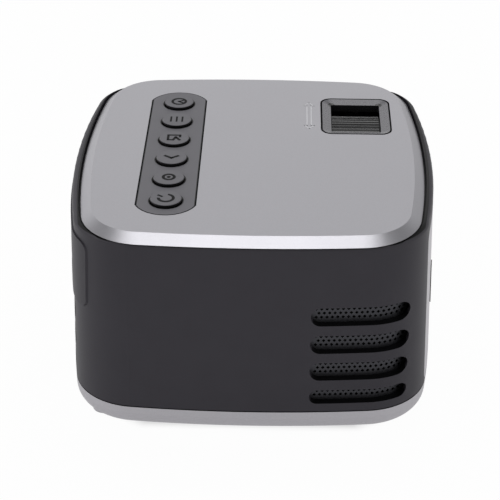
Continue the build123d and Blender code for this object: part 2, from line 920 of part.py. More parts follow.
def make_focus_window_frame():
    low = base_z + window_frame_low
    frame = prism(window_outline(window_width, window_depth, window_corner), low, panel_z)
    grow = 2 * window_flange
    flange = window_outline(window_width + grow, window_depth + grow, window_corner)
    frame += prism(flange, deck_z - window_flange_height, deck_z)
    opening = window_outline(window_open_width, window_open_depth, window_open_corner)
    frame -= prism(opening, low - 1, panel_z + 1)
    lip = 2 * window_lip
    mouth = window_outline(window_width - lip, window_depth - lip, window_corner - window_lip)
    run = (window_width - lip - window_open_width) / 2
    drop = run * tan(radians(window_slope))
    return frame - extrude(Pos(0, 0, panel_z) * mouth, amount=-drop, taper=90 - window_slope)


def cam_groove():
    """Helical groove in the wheel's bore, centred on the wheel and on the guide pin."""
    rise = cam_lead * cam_turn / 360
    path = Helix(pitch=cam_lead, height=rise, radius=wheel_bore)
    section = Plane(origin=path @ 0, x_dir=(0, 0, 1), z_dir=path % 0)
    groove = sweep(section * Rectangle(cam_width, 2 * (cam_floor - wheel_bore)), path, is_frenet=True)
    return Rot(0, 0, -cam_turn / 2) * Pos(0, 0, -rise / 2) * groove


def make_focus_wheel():
    wheel = Cylinder(wheel_radius, wheel_width) - Cylinder(wheel_bore, wheel_width + 1)
    groove = cam_groove()
    wheel -= groove
    wheel -= Rot(0, 0, 180) * groove
    side = wheel_tooth_depth * sqrt(2)
    tooth = Pos(wheel_radius, 0) * Rot(0, 0, 45) * Rectangle(side, side)
    cutter = extrude(tooth, amount=wheel_width, both=True)
    wheel -= [Rot(0, 0, count * 360 / wheel_teeth) * cutter for count in range(wheel_teeth)]
    return Pos(window_x, axis_y, axis_z) * Rot(0, 90, 0) * Rot(0, 0, 90) * wheel


def pin_bar(radius, inner, outer):
    """Two radial bars across the optical axis, one each side, at the wheel's middle."""
    one = Rot(90, 0, 0) * Pos(0, 0, (inner + outer) / 2) * Cylinder(radius, outer - inner)
    place = Pos(window_x, axis_y, axis_z)
    return [place * one, place * Rot(180, 0, 0) * one]


def make_lens_sleeve():
    flange_front = sleeve_back + sleeve_flange
    sleeve = rod_x(sleeve_outer, sleeve_back, sleeve_front)
    sleeve += rod_x(sleeve_flange_radius, sleeve_back, flange_front)
    sleeve += rod_x(sleeve_shoulder, flange_front, wheel_back - wheel_end_gap)
    sleeve -= rod_x(sleeve_inner, sleeve_back - 1, sleeve_front + 1)
    half = focus_travel + pin_radius + pin_slot_end_gap
    wide = pin_radius + pin_slot_clearance
    reach = sleeve_flange_radius + 1
    slot_y = (axis_y - reach, axis_y + reach)
    return sleeve - block((window_x - half, window_x + half), slot_y, (axis_z - wide, axis_z + wide))


def make_wheel_ring():
    start = wheel_front + wheel_end_gap
    ring = tube_x(ring_radius, sleeve_outer + ring_bore_gap, start, start + ring_width)
    mouth = (axis_y - ring_mouth / 2, axis_y + ring_mouth / 2)
    return ring - block((start - 1, start + ring_width + 1), mouth, (axis_z - ring_radius - 1, axis_z))


def make_lens_barrel():
    barrel = rod_x(barrel_radius, barrel_back, barrel_front)
    barrel -= rod_x(barrel_inner, barrel_back - 1, barrel_front - barrel_lip)
    barrel -= rod_x(barrel_inner - barrel_lip, barrel_back, barrel_front + 1)
    return barrel - pin_bar(pin_radius + 0.02, pin_inner - 1, barrel_radius + 1)


def make_guide_pins():
    return pin_bar(pin_radius, pin_inner, cam_floor - pin_tip_gap)


def lens(middle, edge, bulge, radius):
    """A round lens on the optical axis. A positive bulge is convex, a negative one hollow."""
    ball = (radius**2 + bulge**2) / (2 * abs(bulge))
    globe = Rot(0, 0, 90) * Sphere(ball)
    half = edge / 2
    if bulge < 0:
        glass = rod_x(radius, middle - half, middle + half)
        for side in (-1, 1):
            glass -= Pos(middle + side * (half + bulge + ball), axis_y, axis_z) * globe
        return glass
    glass = rod_x(radius, middle - half - 2 * bulge, middle + half + 2 * bulge)
    for side in (-1, 1):
        glass &= Pos(middle + side * (half + bulge - ball), axis_y, axis_z) * globe
    return glass


def make_lens_elements():
    radius = barrel_inner - lens_gap
    return [lens(window_x + place, edge, bulge, radius) for place, edge, bulge in lens_places]


# ---------------------------------------------------------------- light engine
fan_x = (fan_back, fan_back + fan_depth)
sink_back = fan_x[1] + fan_sink_gap
sink_front = sink_back + sink_fin + sink_base
lamp_x = sink_front + led_board_thickness
cone_back = lamp_x + engine_flange
condenser_x = (cone_back + box_back) / 2 + condenser_shift
engine_low = axis_z - box_half_z - foot_plate_thickness
box_middle = (box_back + box_front) / 2
engine_posts = [
    (box_middle + sx * engine_post_x, axis_y + sy * (box_half_y + engine_post_out))
    for sx in (-1, 1)
    for sy in (-1, 1)
]


def taper_face(x, half):
    """A flat shape along X, as wide at each end as half gives, about the X axis."""
    corners = ((x[0], -half[0]), (x[1], -half[1]), (x[1], half[1]), (x[0], half[0]))
    return make_face(Polyline(*corners, close=True))


def optic_loft(x, half_y, half_z):
    """A straight taper between two rectangles on the optical axis."""
    plan = extrude(taper_face(x, half_y), amount=max(half_z), both=True)
    side = extrude(Plane.XZ * taper_face(x, half_z), amount=max(half_y), both=True)
    return Pos(0, axis_y, axis_z) * (plan & side)


def engine_form(inset):
    """The engine's stepped tapering form, drawn in by inset."""
    box_y = box_half_y - inset
    box_z = box_half_z - inset
    lamp = cone_half - inset
    form = optic_loft((cone_back, box_back), (lamp, box_y), (lamp, box_z))
    form += optic_loft((box_back, box_front), (box_y, box_y), (box_z, box_z))
    nose = (nose_half_y - inset, nose_half_z - inset)
    return form + optic_loft((box_front, nose_front), (box_y, nose[0]), (box_z, nose[1]))


def make_engine_housing():
    housing = engine_form(0)
    low = axis_z - box_half_z
    flange = (lamp_flange_half, lamp_flange_half)
    housing += optic_loft((cone_back - engine_flange, cone_back), flange, flange)
    housing += rod_x(sleeve_flange_radius, nose_front, sleeve_back)
    housing += block(
        (box_back, box_front),
        (axis_y - box_half_y - ear_reach, axis_y + box_half_y + ear_reach),
        (low - foot_plate_thickness, low),
    )
    housing -= engine_form(engine_wall)
    lamp = cone_half - engine_wall
    housing -= optic_loft((cone_back - engine_flange - 1, cone_back), (lamp, lamp), (lamp, lamp))
    housing -= rod_x(nose_half_z - engine_wall, nose_front - 1, sleeve_back + 1)
    wide = lid_opening / 2
    housing -= block(
        (box_middle - wide, box_middle + wide),
        (axis_y - box_half_y + engine_wall, axis_y + box_half_y - engine_wall),
        (axis_z, axis_z + box_half_z + 1),
    )
    for x, y in engine_posts:
        housing -= upright(post_screw_radius + shank_clearance, x, y, engine_low - 1, low + 1)
    return housing


def make_engine_lid():
    top = axis_z + box_half_z
    y = (axis_y - box_half_y, axis_y + box_half_y)
    return block((box_back, box_front), y, (top, top + lid_thickness))


def optic_plate(x, thickness):
    """A flat optic that stands in the engine's box."""
    half_y = box_half_y - engine_wall - frame_clearance
    half_z = box_half_z - engine_wall - frame_clearance
    return optic_loft((x - thickness / 2, x + thickness / 2), (half_y, half_y), (half_z, half_z))


def make_led_board():
    half = led_board_half
    return optic_loft((sink_front, lamp_x), (half, half), (half, half))


def make_led_emitter():
    half = emitter_size / 2
    chip = optic_loft((lamp_x, lamp_x + emitter_height), (half, half), (half, half))
    dome = rod_x(dome_radius, lamp_x + emitter_height / 2, lamp_x + emitter_height + dome_height)
    dome = chamfer(dome.edges().group_by(Axis.X)[-1], dome_edge)
    return chip + dome


def make_condenser_lens():
    back = condenser_x - condenser_edge / 2
    share = (back - cone_back) / (box_back - cone_back)
    room = cone_half + share * (box_half_z - cone_half) - engine_wall
    return lens(condenser_x, condenser_edge, condenser_bulge, room - condenser_gap)


def make_engine_screws():
    low = axis_z - box_half_z
    one = Rot(180, 0, 0) * screw(post_screw_radius, post_screw_length, post_head_radius, post_head_height)
    return [Pos(x, y, low) * one for x, y in engine_posts]


# ---------------------------------------------------------------- heat sink and fan
def make_heat_sink():
    low = base_z + sink_low
    high = base_z + sink_high
    sink = block((sink_front - sink_base, sink_front), (sink_near, sink_far), (low, high))
    pitch = (sink_far - sink_near - fin_thickness) / (fin_count - 1)
    for count in range(fin_count):
        y = sink_near + count * pitch
        sink += block((sink_back, sink_front - sink_base), (y, y + fin_thickness), (low, high))
    return sink


fan_y = fan_near + fan_size / 2
fan_z = base_z + fan_low + fan_size / 2


def make_fan_frame():
    shape = Plane.YZ.offset(fan_x[0]) * Pos(fan_y, fan_z) * RectangleRounded(fan_size, fan_size, fan_corner)
    frame = extrude(shape, amount=fan_depth)
    frame -= rod_x(fan_bore, fan_x[0] - 1, fan_x[1] + 1, fan_y, fan_z)
    arm = block(
        (fan_x[1] - fan_arm_thickness, fan_x[1]),
        (fan_y - fan_bore - 0.5, fan_y + fan_bore + 0.5),
        (fan_z - fan_arm / 2, fan_z + fan_arm / 2),
    )
    turn = Pos(0, fan_y, fan_z) * Rot(45, 0, 0) * Pos(0, -fan_y, -fan_z)
    frame += turn * arm
    frame += turn * Pos(0, fan_y, fan_z) * Rot(90, 0, 0) * Pos(0, -fan_y, -fan_z) * arm
    frame += rod_x(fan_hub, fan_x[1] - fan_arm_thickness, fan_x[1], fan_y, fan_z)
    pin_end = fan_x[0] + fan_cup_wall + fan_end_gap
    frame += rod_x(fan_pin_radius, pin_end, fan_x[1] - fan_arm_thickness / 2, fan_y, fan_z)
    reach = fan_size / 2 - fan_hole_inset
    for sy in (-1, 1):
        for sz in (-1, 1):
            hole = rod_x(fan_hole, fan_x[0] - 1, fan_x[1] + 1, fan_y + sy * reach, fan_z + sz * reach)
            frame -= hole
    return frame


def make_fan_impeller():
    front = fan_x[0] + fan_end_gap
    back = fan_x[1] - fan_arm_thickness - fan_end_gap
    hub = rod_x(fan_hub, front, back, fan_y, fan_z)
    hub -= rod_x(fan_hub - fan_cup_wall, front + fan_cup_wall, back + 1, fan_y, fan_z)
    tip = fan_bore - fan_tip_gap
    bearing = rod_x(fan_pin_radius + fan_bearing_wall, front + fan_cup_wall / 2, back, fan_y, fan_z)
    fan = hub + bearing
    deep = back - front
    blade = Pos(0, 0, (fan_hub + tip) / 2) * Box(deep * blade_reach, blade_thickness, tip - fan_hub + 2)
    turned = Rot(0, 0, blade_angle) * blade
    ring = rod_x(tip, front, back, fan_y, fan_z) - rod_x(fan_hub - 0.5, front, back, fan_y, fan_z)
    middle = Pos((front + back) / 2, fan_y, fan_z)
    for count in range(fan_blades):
        fan += (middle * Rot(count * 360 / fan_blades, 0, 0) * turned) & ring
    hole = rod_x(fan_pin_radius + fan_pin_clearance, front + fan_cup_wall / 2, back + 1, fan_y, fan_z)
    return fan - hole


# ---------------------------------------------------------------- main board and sockets
board_low_z = base_z + board_z
board_top_z = board_low_z + board_thickness


def make_main_board():
    board = block((board_back, board_front), (board_near, board_far), (board_low_z, board_top_z))
    for x, y in board_posts:
        board -= upright(post_screw_radius + shank_clearance, x, y, board_low_z - 1, board_top_z + 1)
    return board


def make_board_screws():
    one = Rot(180, 0, 0) * screw(post_screw_radius, post_screw_length, post_head_radius, post_head_height)
    return [Pos(x, y, board_top_z) * one for x, y in board_posts]


def make_board_chips():
    chips = []
    for x, y, size, height in chip_places:
        half = size / 2
        chips.append(block((x - half, x + half), (y - half, y + half), (board_top_z, board_top_z + height)))
    return chips


def port_face(y, width):
    """Where a socket's mouth stands behind the socket plate: flush with it at the socket's outer edge."""
    edge = max(abs(y - width / 2), abs(y + width / 2))
    return port_recess - side_face_x(edge, base_z + port_plate_high)


def make_video_socket():
    mouth = port_face(video_y, video_width)
    middle = Plane.YZ.offset(mouth) * Pos(video_y, board_top_z + video_height / 2)
    outline = Rectangle(video_width, video_height)
    outline = chamfer(outline.vertices().group_by(Axis.Y)[0], video_chamfer)
    shell = extrude(middle * outline, amount=video_depth)
    inner = offset(outline, -video_skin, kind=Kind.INTERSECTION)
    shell -= extrude(middle * inner, amount=video_depth - 1)
    half = video_tongue / 2
    low = board_top_z + video_height / 2
    tongue_x = (mouth + tongue_setback, mouth + video_depth - video_skin)
    return shell + block(tongue_x, (video_y - half, video_y + half), (low, low + tongue_thickness))


def make_data_socket():
    mouth = port_face(data_y, data_width)
    half = data_width / 2
    top = board_top_z + data_height
    shell = block((mouth, mouth + data_depth), (data_y - half, data_y + half), (board_top_z, top))
    inner = half - data_skin
    shell -= block(
        (mouth - 1, mouth + data_depth - data_back_wall),
        (data_y - inner, data_y + inner),
        (board_top_z + data_skin, top - data_skin),
    )
    reach = inner - data_tongue_side_gap
    high = top - data_skin - data_tongue_gap
    tongue_x = (mouth + tongue_setback, mouth + data_depth - 1)
    return shell + block(tongue_x, (data_y - reach, data_y + reach), (high - data_tongue_thickness, high))


def make_av_jack():
    mouth = port_face(sound_y, sound_width)
    body = mouth + sound_nose_length
    half = sound_width / 2
    z = board_top_z + sound_height / 2
    tall = (board_top_z, board_top_z + sound_height)
    jack = block((body, mouth + sound_depth), (sound_y - half, sound_y + half), tall)
    jack += rod_x(sound_nose, mouth, body + 0.5, sound_y, z)
    return jack - rod_x(sound_bore, mouth - 1, mouth + sound_depth - 1, sound_y, z)


def make_dc_jack():
    mouth = port_face(power_y, power_width)
    half = power_width / 2
    z = board_top_z + power_height / 2
    y = (power_y - half, power_y + half)
    jack = block((mouth, mouth + power_depth), y, (board_top_z, board_top_z + power_height))
    jack -= rod_x(power_bore, mouth - 1, mouth + power_bore_depth, power_y, z)
    return jack + rod_x(power_pin, mouth + power_pin_setback, mouth + power_bore_depth + 0.5, power_y, z)


def make_card_slot():
    mouth = port_face(data_y, card_width)
    half = card_width / 2
    low = board_low_z - card_height
    slot = block((mouth, mouth + card_depth), (data_y - half, data_y + half), (low, board_low_z))
    slit = card_slit_width / 2
    z = (low + (card_height - card_slit_height) / 2, low + (card_height + card_slit_height) / 2)
    return slot - block((mouth - 1, mouth + card_depth - 2), (data_y - slit, data_y + slit), z)


# ---------------------------------------------------------------- write every sub-part
os.makedirs("parts", exist_ok=True)
save("body_shell", make_body_shell())
save("top_cover", make_top_cover())
save("bottom_cover", make_bottom_cover())
save("rubber_feet", *make_feet())
save("base_screws", *make_base_screws())
save("tripod_nut", make_tripod_nut())
save("front_fascia", make_front_fascia())
save("port_plate", make_port_plate())
save("ir_window", make_ir_window())
save("lens_bezel", make_lens_bezel())
save("speaker_mesh", make_speaker_mesh())
save("speaker_frame", make_speaker_frame())
save("speaker_cone", make_speaker_cone())
save("speaker_magnet", make_speaker_magnet())
save("button_panel", make_button_panel())
for button_name, place in zip(button_names, button_places):
    save(f"button_{button_name}", make_button(*place))
save("key_board", make_key_board())
save("key_switches", *make_key_switches())
save("key_board_screws", *make_key_board_screws())
save("focus_window_frame", make_focus_window_frame())
save("focus_wheel", make_focus_wheel())
save("lens_sleeve", make_lens_sleeve())
save("wheel_ring", make_wheel_ring())
save("lens_barrel", make_lens_barrel())
save("guide_pins", *make_guide_pins())
for lens_name, element in zip(("rear_lens", "middle_lens", "front_lens"), make_lens_elements()):
    save(lens_name, element)
save("engine_housing", make_engine_housing())
save("engine_lid", make_engine_lid())
save("engine_screws", *make_engine_screws())
save("rear_fresnel", optic_plate(rear_fresnel_x, optic_thickness))
save("picture_panel", optic_plate(panel_x, optic_thickness))
save("front_fresnel", optic_plate(front_fresnel_x, optic_thickness))
save("condenser_lens", make_condenser_lens())
save("led_board", make_led_board())
save("led_emitter", make_led_emitter())
save("heat_sink", make_heat_sink())
save("fan_frame", make_fan_frame())
save("fan_impeller", make_fan_impeller())
save("main_board", make_main_board())
save("board_screws", *make_board_screws())
save("board_chips", *make_board_chips())
save("video_socket", make_video_socket())
save("data_socket", make_data_socket())
save("av_jack", make_av_jack())
save("dc_jack", make_dc_jack())
save("card_slot", make_card_slot())
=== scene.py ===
"""A small portable LED projector: dark moulded housing, silver painted covers and six top keys."""

import math

import bmesh
import bpy
from mathutils import Matrix, Vector


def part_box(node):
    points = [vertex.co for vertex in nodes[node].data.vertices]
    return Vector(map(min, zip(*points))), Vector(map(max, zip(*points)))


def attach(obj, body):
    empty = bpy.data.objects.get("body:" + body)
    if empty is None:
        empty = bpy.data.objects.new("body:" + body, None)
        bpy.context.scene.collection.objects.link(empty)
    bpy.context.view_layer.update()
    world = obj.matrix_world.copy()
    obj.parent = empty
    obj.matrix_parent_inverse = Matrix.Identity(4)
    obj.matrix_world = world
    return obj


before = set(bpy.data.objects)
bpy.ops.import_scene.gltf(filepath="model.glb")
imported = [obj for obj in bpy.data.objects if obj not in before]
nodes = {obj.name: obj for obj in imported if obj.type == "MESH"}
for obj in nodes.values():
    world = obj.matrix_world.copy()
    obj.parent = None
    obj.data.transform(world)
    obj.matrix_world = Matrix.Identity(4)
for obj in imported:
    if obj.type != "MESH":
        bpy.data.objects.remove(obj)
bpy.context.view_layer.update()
MM = 0.001


# ---- Camera ----
# The camera stands in front of the speaker side and a little to the right, and looks down at the top.
# Its place, turn and focal length are fitted to the object's outline in a picture 500 pixels wide.
camera_place = Vector((10.46, -527.16, 343.04)) * MM
camera_turn = math.radians(-1.27)
camera_drop = math.radians(30.28)
camera_roll = math.radians(0.24)
picture_width = 500
focal_pixels = 1721.2

ahead = Vector((
    math.sin(camera_turn) * math.cos(camera_drop),
    math.cos(camera_turn) * math.cos(camera_drop),
    -math.sin(camera_drop),
))
level_right = Vector((math.cos(camera_turn), -math.sin(camera_turn), 0))
level_up = level_right.cross(ahead)
camera_right = level_right * math.cos(camera_roll) + level_up * math.sin(camera_roll)
camera_up = level_up * math.cos(camera_roll) - level_right * math.sin(camera_roll)
axes = Matrix((camera_right, camera_up, -ahead)).transposed().to_4x4()
lens_data = bpy.data.cameras.new("camera")
lens_data.sensor_width = 36
lens_data.lens = lens_data.sensor_width * focal_pixels / picture_width
camera = bpy.data.objects.new("camera", lens_data)
camera.matrix_world = Matrix.Translation(camera_place) @ axes
bpy.context.scene.collection.objects.link(camera)
bpy.context.scene.camera = camera
bpy.context.scene.view_settings.view_transform = "Standard"


# ---- Floor, studio light and the functions that make materials ----
# White paper swept over a table, one soft box overhead and behind, and two faint ones at the sides.
# Gloss sees the white sweep all round up to about head height, a dim ceiling over it and a greyer wall on
# the lens side.
def linear(sheet_colour):
    """An sRGB hex value, such as a8a8ac, as linear red, green, blue and alpha."""
    channels = [int(sheet_colour[start:start + 2], 16) / 255 for start in (0, 2, 4)]
    return [c / 12.92 if c <= 0.04045 else ((c + 0.055) / 1.055) ** 2.4 for c in channels] + [1]


def add(material, kind, sockets=(), **settings):
    """Add one node to a material or world, make its settings and fill or link its sockets."""
    tree = material.node_tree
    new = tree.nodes.new("ShaderNode" + kind)
    for name, value in settings.items():
        setattr(new, name, value)
    for name, value in dict(sockets).items():
        if isinstance(value, bpy.types.NodeSocket):
            tree.links.new(value, new.inputs[name])
        else:
            new.inputs[name].default_value = value
    return new


def empty_material(name):
    """A new material with no nodes in it."""
    material = bpy.data.materials.new(name)
    material.use_nodes = True
    material.node_tree.nodes.clear()
    return material


def wear(thing, *materials):
    """Give a piece its materials."""
    thing.data.materials.clear()
    for material in materials:
        thing.data.materials.append(material)


seen_glow = 0.97
mirrored_glow = 0.5
matt_half_mm = 50.0
glow_starts_mm = 60.0
corner_share = 0.85


def white_paper():
    """Matt paper that the camera sees as white, with the object's soft shadow left in.

    Under the object it is only matt, in a square with round corners, so that nothing shines up through
    the slots.
    """
    paper = empty_material("white_paper")
    place = add(paper, "TexCoord")
    from_middle = add(paper, "VectorMath", {0: place.outputs["Object"]}, operation="ABSOLUTE")
    side = add(paper, "SeparateXYZ", {0: from_middle.outputs[0]})
    square = add(paper, "Math", {0: side.outputs["X"], 1: side.outputs["Y"]}, operation="MAXIMUM")
    far = add(paper, "VectorMath", {0: place.outputs["Object"]}, operation="LENGTH")
    corner = add(paper, "Math", {0: far.outputs["Value"], 1: corner_share}, operation="MULTIPLY")
    furthest = add(paper, "Math", {0: square.outputs[0], 1: corner.outputs[0]}, operation="MAXIMUM")
    clear = add(
        paper, "MapRange",
        {"Value": furthest.outputs[0], "From Min": matt_half_mm * MM, "From Max": glow_starts_mm * MM},
        interpolation_type="SMOOTHSTEP",
    )
    matt = add(paper, "BsdfDiffuse", {"Color": linear("f4f4f4")})
    glow = add(paper, "Emission", {"Color": linear("ffffff"), "Strength": 1.0})
    path = add(paper, "LightPath")
    seen = add(paper, "Math", {0: path.outputs["Is Camera Ray"], 1: seen_glow}, operation="MULTIPLY")
    shiny = add(
        paper, "Math",
        {0: path.outputs["Is Glossy Ray"], 1: path.outputs["Is Transmission Ray"]},
        operation="MAXIMUM",
    )
    share = add(
        paper, "Math", {0: shiny.outputs[0], 1: mirrored_glow, 2: seen.outputs[0]},
        operation="MULTIPLY_ADD",
    )
    beside = add(paper, "Math", {0: share.outputs[0], 1: clear.outputs["Result"]}, operation="MULTIPLY")
    mixed = add(paper, "MixShader", {0: beside.outputs[0], 1: matt.outputs[0], 2: glow.outputs[0]})
    add(paper, "OutputMaterial", {"Surface": mixed.outputs[0]})
    return paper


paper_half_m = 4.0
floor_mesh = bpy.data.meshes.new("floor")
paper_sheet = bmesh.new()
bmesh.ops.create_grid(paper_sheet, x_segments=1, y_segments=1, size=paper_half_m)
paper_sheet.to_mesh(floor_mesh)
paper_sheet.free()
floor = bpy.data.objects.new("floor", floor_mesh)
bpy.context.scene.collection.objects.link(floor)
wear(floor, white_paper())

world = bpy.data.worlds.new("studio")
bpy.context.scene.world = world
world.use_nodes = True
world.node_tree.nodes.clear()
path = add(world, "LightPath")
direction = add(world, "TexCoord")
height = add(world, "SeparateXYZ", {0: direction.outputs["Generated"]})
sweep = add(
    world, "MapRange",
    {"Value": height.outputs["Z"], "From Min": 0.5, "From Max": 0.75, "To Min": 1.0, "To Max": 0.22},
    interpolation_type="SMOOTHSTEP",
)
lens_wall = add(
    world, "MapRange",
    {"Value": height.outputs["X"], "From Min": 0.12, "From Max": 0.55, "To Min": 1.0, "To Max": 0.58},
    interpolation_type="SMOOTHSTEP",
)
sides = add(
    world, "Math", {0: sweep.outputs["Result"], 1: lens_wall.outputs["Result"]}, operation="MULTIPLY"
)
room = add(world, "Background", {"Color": linear("ffffff"), "Strength": 0.52})
mirrored = add(world, "Background", {"Color": linear("ffffff"), "Strength": sides.outputs[0]})
backdrop = add(world, "Background", {"Color": linear("ffffff"), "Strength": 1.0})
shiny = add(
    world, "Math",
    {0: path.outputs["Is Glossy Ray"], 1: path.outputs["Is Transmission Ray"]},
    operation="MAXIMUM",
)
lit = add(world, "MixShader", {0: shiny.outputs[0], 1: room.outputs[0], 2: mirrored.outputs[0]})
seen = add(world, "MixShader", {0: path.outputs["Is Camera Ray"], 1: lit.outputs[0], 2: backdrop.outputs[0]})
add(world, "OutputWorld", {"Surface": seen.outputs[0]})

lamps_aim = Vector((0, 0, 40)) * MM
soft_boxes = {
    "overhead_box": ((-0.025, 0.34, 1.0), (0.50, 0.55), 2.6),
    "left_box": ((-1.0, -0.35, 0.35), (0.5, 0.9), 2.0),
    "right_box": ((1.0, -0.35, 0.35), (0.5, 0.9), 1.0),
}
for box_name, (place, (wide, tall), power) in soft_boxes.items():
    lamp = bpy.data.lights.new(box_name, "AREA")
    lamp.shape = "RECTANGLE"
    lamp.size = wide
    lamp.size_y = tall
    lamp.energy = power
    box = bpy.data.objects.new(box_name, lamp)
    box.location = place
    box.rotation_euler = (Vector(place) - lamps_aim).to_track_quat("Z", "Y").to_euler()
    bpy.context.scene.collection.objects.link(box)


# ---- Housing ----
# The body shell and the port plate are moulded ABS, dark grey, with the fine texture that a spark-eroded
# mould leaves. It takes the light softly and shows no single grain, only an even satin.
roughness_swing = 0.06


def moulded_plastic(
    name, colour, roughness, grain_mm=0.35, depth_mm=0.012, gloss=0.3, tone=0.08, shade_colour=None, shade_mask=None
):
    """Textured moulded plastic, a little uneven in tone where the melt flowed.

    The mask function adds the nodes for the places where shade is painted in the darker colour, and returns
    their mask.
    """
    plastic = empty_material(name)
    place = add(plastic, "TexCoord")
    grain = add(
        plastic, "TexNoise",
        {"Vector": place.outputs["Object"], "Scale": 1 / (grain_mm * MM), "Detail": 2.0},
    )
    flow = add(plastic, "TexNoise", {"Vector": place.outputs["Object"], "Scale": 1 / (9.0 * MM)})
    dull = [c * (1 - tone) for c in linear(colour)[:3]] + [1]
    full = [c * (1 + tone) for c in linear(colour)[:3]] + [1]
    body = add(plastic, "Mix", {"Factor": flow.outputs["Fac"], 6: dull, 7: full}, data_type="RGBA")
    # Painted shade: where the mask is 1, the darker colour takes the place of the plastic's own.
    if shade_mask:
        mask = shade_mask(plastic, place)
        body = add(
            plastic, "Mix", {"Factor": mask, 6: body.outputs[2], 7: linear(shade_colour)}, data_type="RGBA"
        )
    sheen = add(
        plastic, "MapRange",
        {
            "Value": grain.outputs["Fac"],
            "To Min": roughness - roughness_swing, "To Max": roughness + roughness_swing,
        },
    )
    skin = add(
        plastic, "Bump",
        {"Height": grain.outputs["Fac"], "Strength": 0.35, "Distance": depth_mm * MM},
    )
    surface = add(
        plastic, "BsdfPrincipled",
        {
            "Base Color": body.outputs[2], "Roughness": sheen.outputs["Result"], "IOR": 1.53,
            "Specular IOR Level": gloss, "Normal": skin.outputs["Normal"],
        },
    )
    add(plastic, "OutputMaterial", {"Surface": surface.outputs[0]})
    return plastic


# The top cover's sides are arcs of this radius, and stand this far from the middle.
cover_side_radius_mm = 307.7
cover_side_mm = 57.95
# Shade is painted in the groove beside them, to this far past the cover and a little further on the lens
# side.
groove_reach_mm = 1.4
groove_shift_mm = 0.2
slots_top_mm = 65.0
looks_up_from = 0.6


def shell_shade_masks(material, place):
    """1 in the groove beside the top cover and on the slots' floors, where shade is painted, and 0 elsewhere.
    """
    at = add(material, "SeparateXYZ", {0: place.outputs["Object"]})
    facing = add(material, "SeparateXYZ", {0: place.outputs["Normal"]})
    shifted = add(material, "Math", {0: at.outputs["X"], 1: groove_shift_mm * MM}, operation="SUBTRACT")
    across = add(material, "Math", {0: shifted.outputs[0]}, operation="ABSOLUTE")
    from_centre = add(
        material, "Math",
        {0: across.outputs[0], 1: (cover_side_radius_mm - cover_side_mm) * MM}, operation="ADD",
    )
    flat = add(material, "CombineXYZ", {"X": from_centre.outputs[0], "Y": at.outputs["Y"]})
    reach = add(material, "VectorMath", {0: flat.outputs[0]}, operation="LENGTH")
    inside = add(
        material, "Math",
        {0: reach.outputs["Value"], 1: (cover_side_radius_mm + groove_reach_mm) * MM},
        operation="LESS_THAN",
    )
    looks_up = add(material, "Math", {0: facing.outputs["Z"], 1: looks_up_from}, operation="GREATER_THAN")
    below = add(material, "Math", {0: at.outputs["Z"], 1: slots_top_mm * MM}, operation="LESS_THAN")
    hidden = add(material, "Math", {0: inside.outputs[0], 1: below.outputs[0]}, operation="MAXIMUM")
    return add(
        material, "Math", {0: looks_up.outputs[0], 1: hidden.outputs[0]}, operation="MULTIPLY"
    ).outputs[0]


# The shell's near-black colour in the groove beside the top cover and on the slots' floors is painted shade.
shell_abs = moulded_plastic("dark_grey_abs", "37353b", 0.46, gloss=0.2, shade_colour="08080a", shade_mask=shell_shade_masks)
plate_abs = moulded_plastic("dark_grey_plate_abs", "37353b", 0.46, gloss=0.2)
wear(nodes["body_shell"], shell_abs)
wear(nodes["port_plate"], plate_abs)


# ---- Covers ----
# The top cover, the bottom cover and the lens side's fascia are moulded, then sprayed with silver paint.
# Its aluminium flakes lie nearly flat, so that a face turned to the light goes pale, with a fine sparkle.
upright_below = 0.3
lip_looks_up_from = 0.7


def shaded_upright_faces(material, place):
    """1 on faces that stand upright or look down, where shade is painted, and 0 on the others."""
    facing = add(material, "SeparateXYZ", {0: place.outputs["Normal"]})
    return add(material, "Math", {0: facing.outputs["Z"], 1: upright_below}, operation="LESS_THAN").outputs[0]


def silver_paint(name, colour, roughness, shade_colour=None, seam_shade_colour=None):
    """Satin silver paint: fine aluminium flakes in a clear binder, drawn 0.4 mm across so that they show.

    Two darker colours may be given: one is painted shade on upright and downward faces, the other painted
    shade on faces that look up.
    """
    paint = empty_material(name)
    place = add(paint, "TexCoord")
    flakes = add(
        paint, "TexNoise",
        {"Vector": place.outputs["Object"], "Scale": 1 / (0.4 * MM), "Detail": 1.0},
    )
    mist = add(paint, "TexNoise", {"Vector": place.outputs["Object"], "Scale": 1 / (14.0 * MM)})
    low = [c * 0.93 for c in linear(colour)[:3]] + [1]
    high = [min(1, c * 1.07) for c in linear(colour)[:3]] + [1]
    tone = add(paint, "Mix", {"Factor": flakes.outputs["Fac"], 6: low, 7: high}, data_type="RGBA")
    # Painted shade on faces that stand upright or look down.
    if shade_colour:
        tone = add(
            paint, "Mix",
            {"Factor": shaded_upright_faces(paint, place), 6: tone.outputs[2], 7: linear(shade_colour)},
            data_type="RGBA",
        )
    # Painted shade in the seam: faces that look up take the darker colour.
    if seam_shade_colour:
        facing = add(paint, "SeparateXYZ", {0: place.outputs["Normal"]})
        lip = add(paint, "Math", {0: facing.outputs["Z"], 1: lip_looks_up_from}, operation="GREATER_THAN")
        tone = add(
            paint, "Mix", {"Factor": lip.outputs[0], 6: tone.outputs[2], 7: linear(seam_shade_colour)},
            data_type="RGBA",
        )
    satin = add(
        paint, "MapRange",
        {"Value": mist.outputs["Fac"], "To Min": roughness - 0.02, "To Max": roughness + 0.02},
    )
    peel = add(
        paint, "Bump",
        {"Height": flakes.outputs["Fac"], "Strength": 0.1, "Distance": 0.004 * MM},
    )
    metal = add(
        paint, "BsdfPrincipled",
        {
            "Base Color": tone.outputs[2], "Metallic": 0.75, "Roughness": satin.outputs["Result"],
            "Normal": peel.outputs["Normal"],
        },
    )
    add(paint, "OutputMaterial", {"Surface": metal.outputs[0]})
    return paint


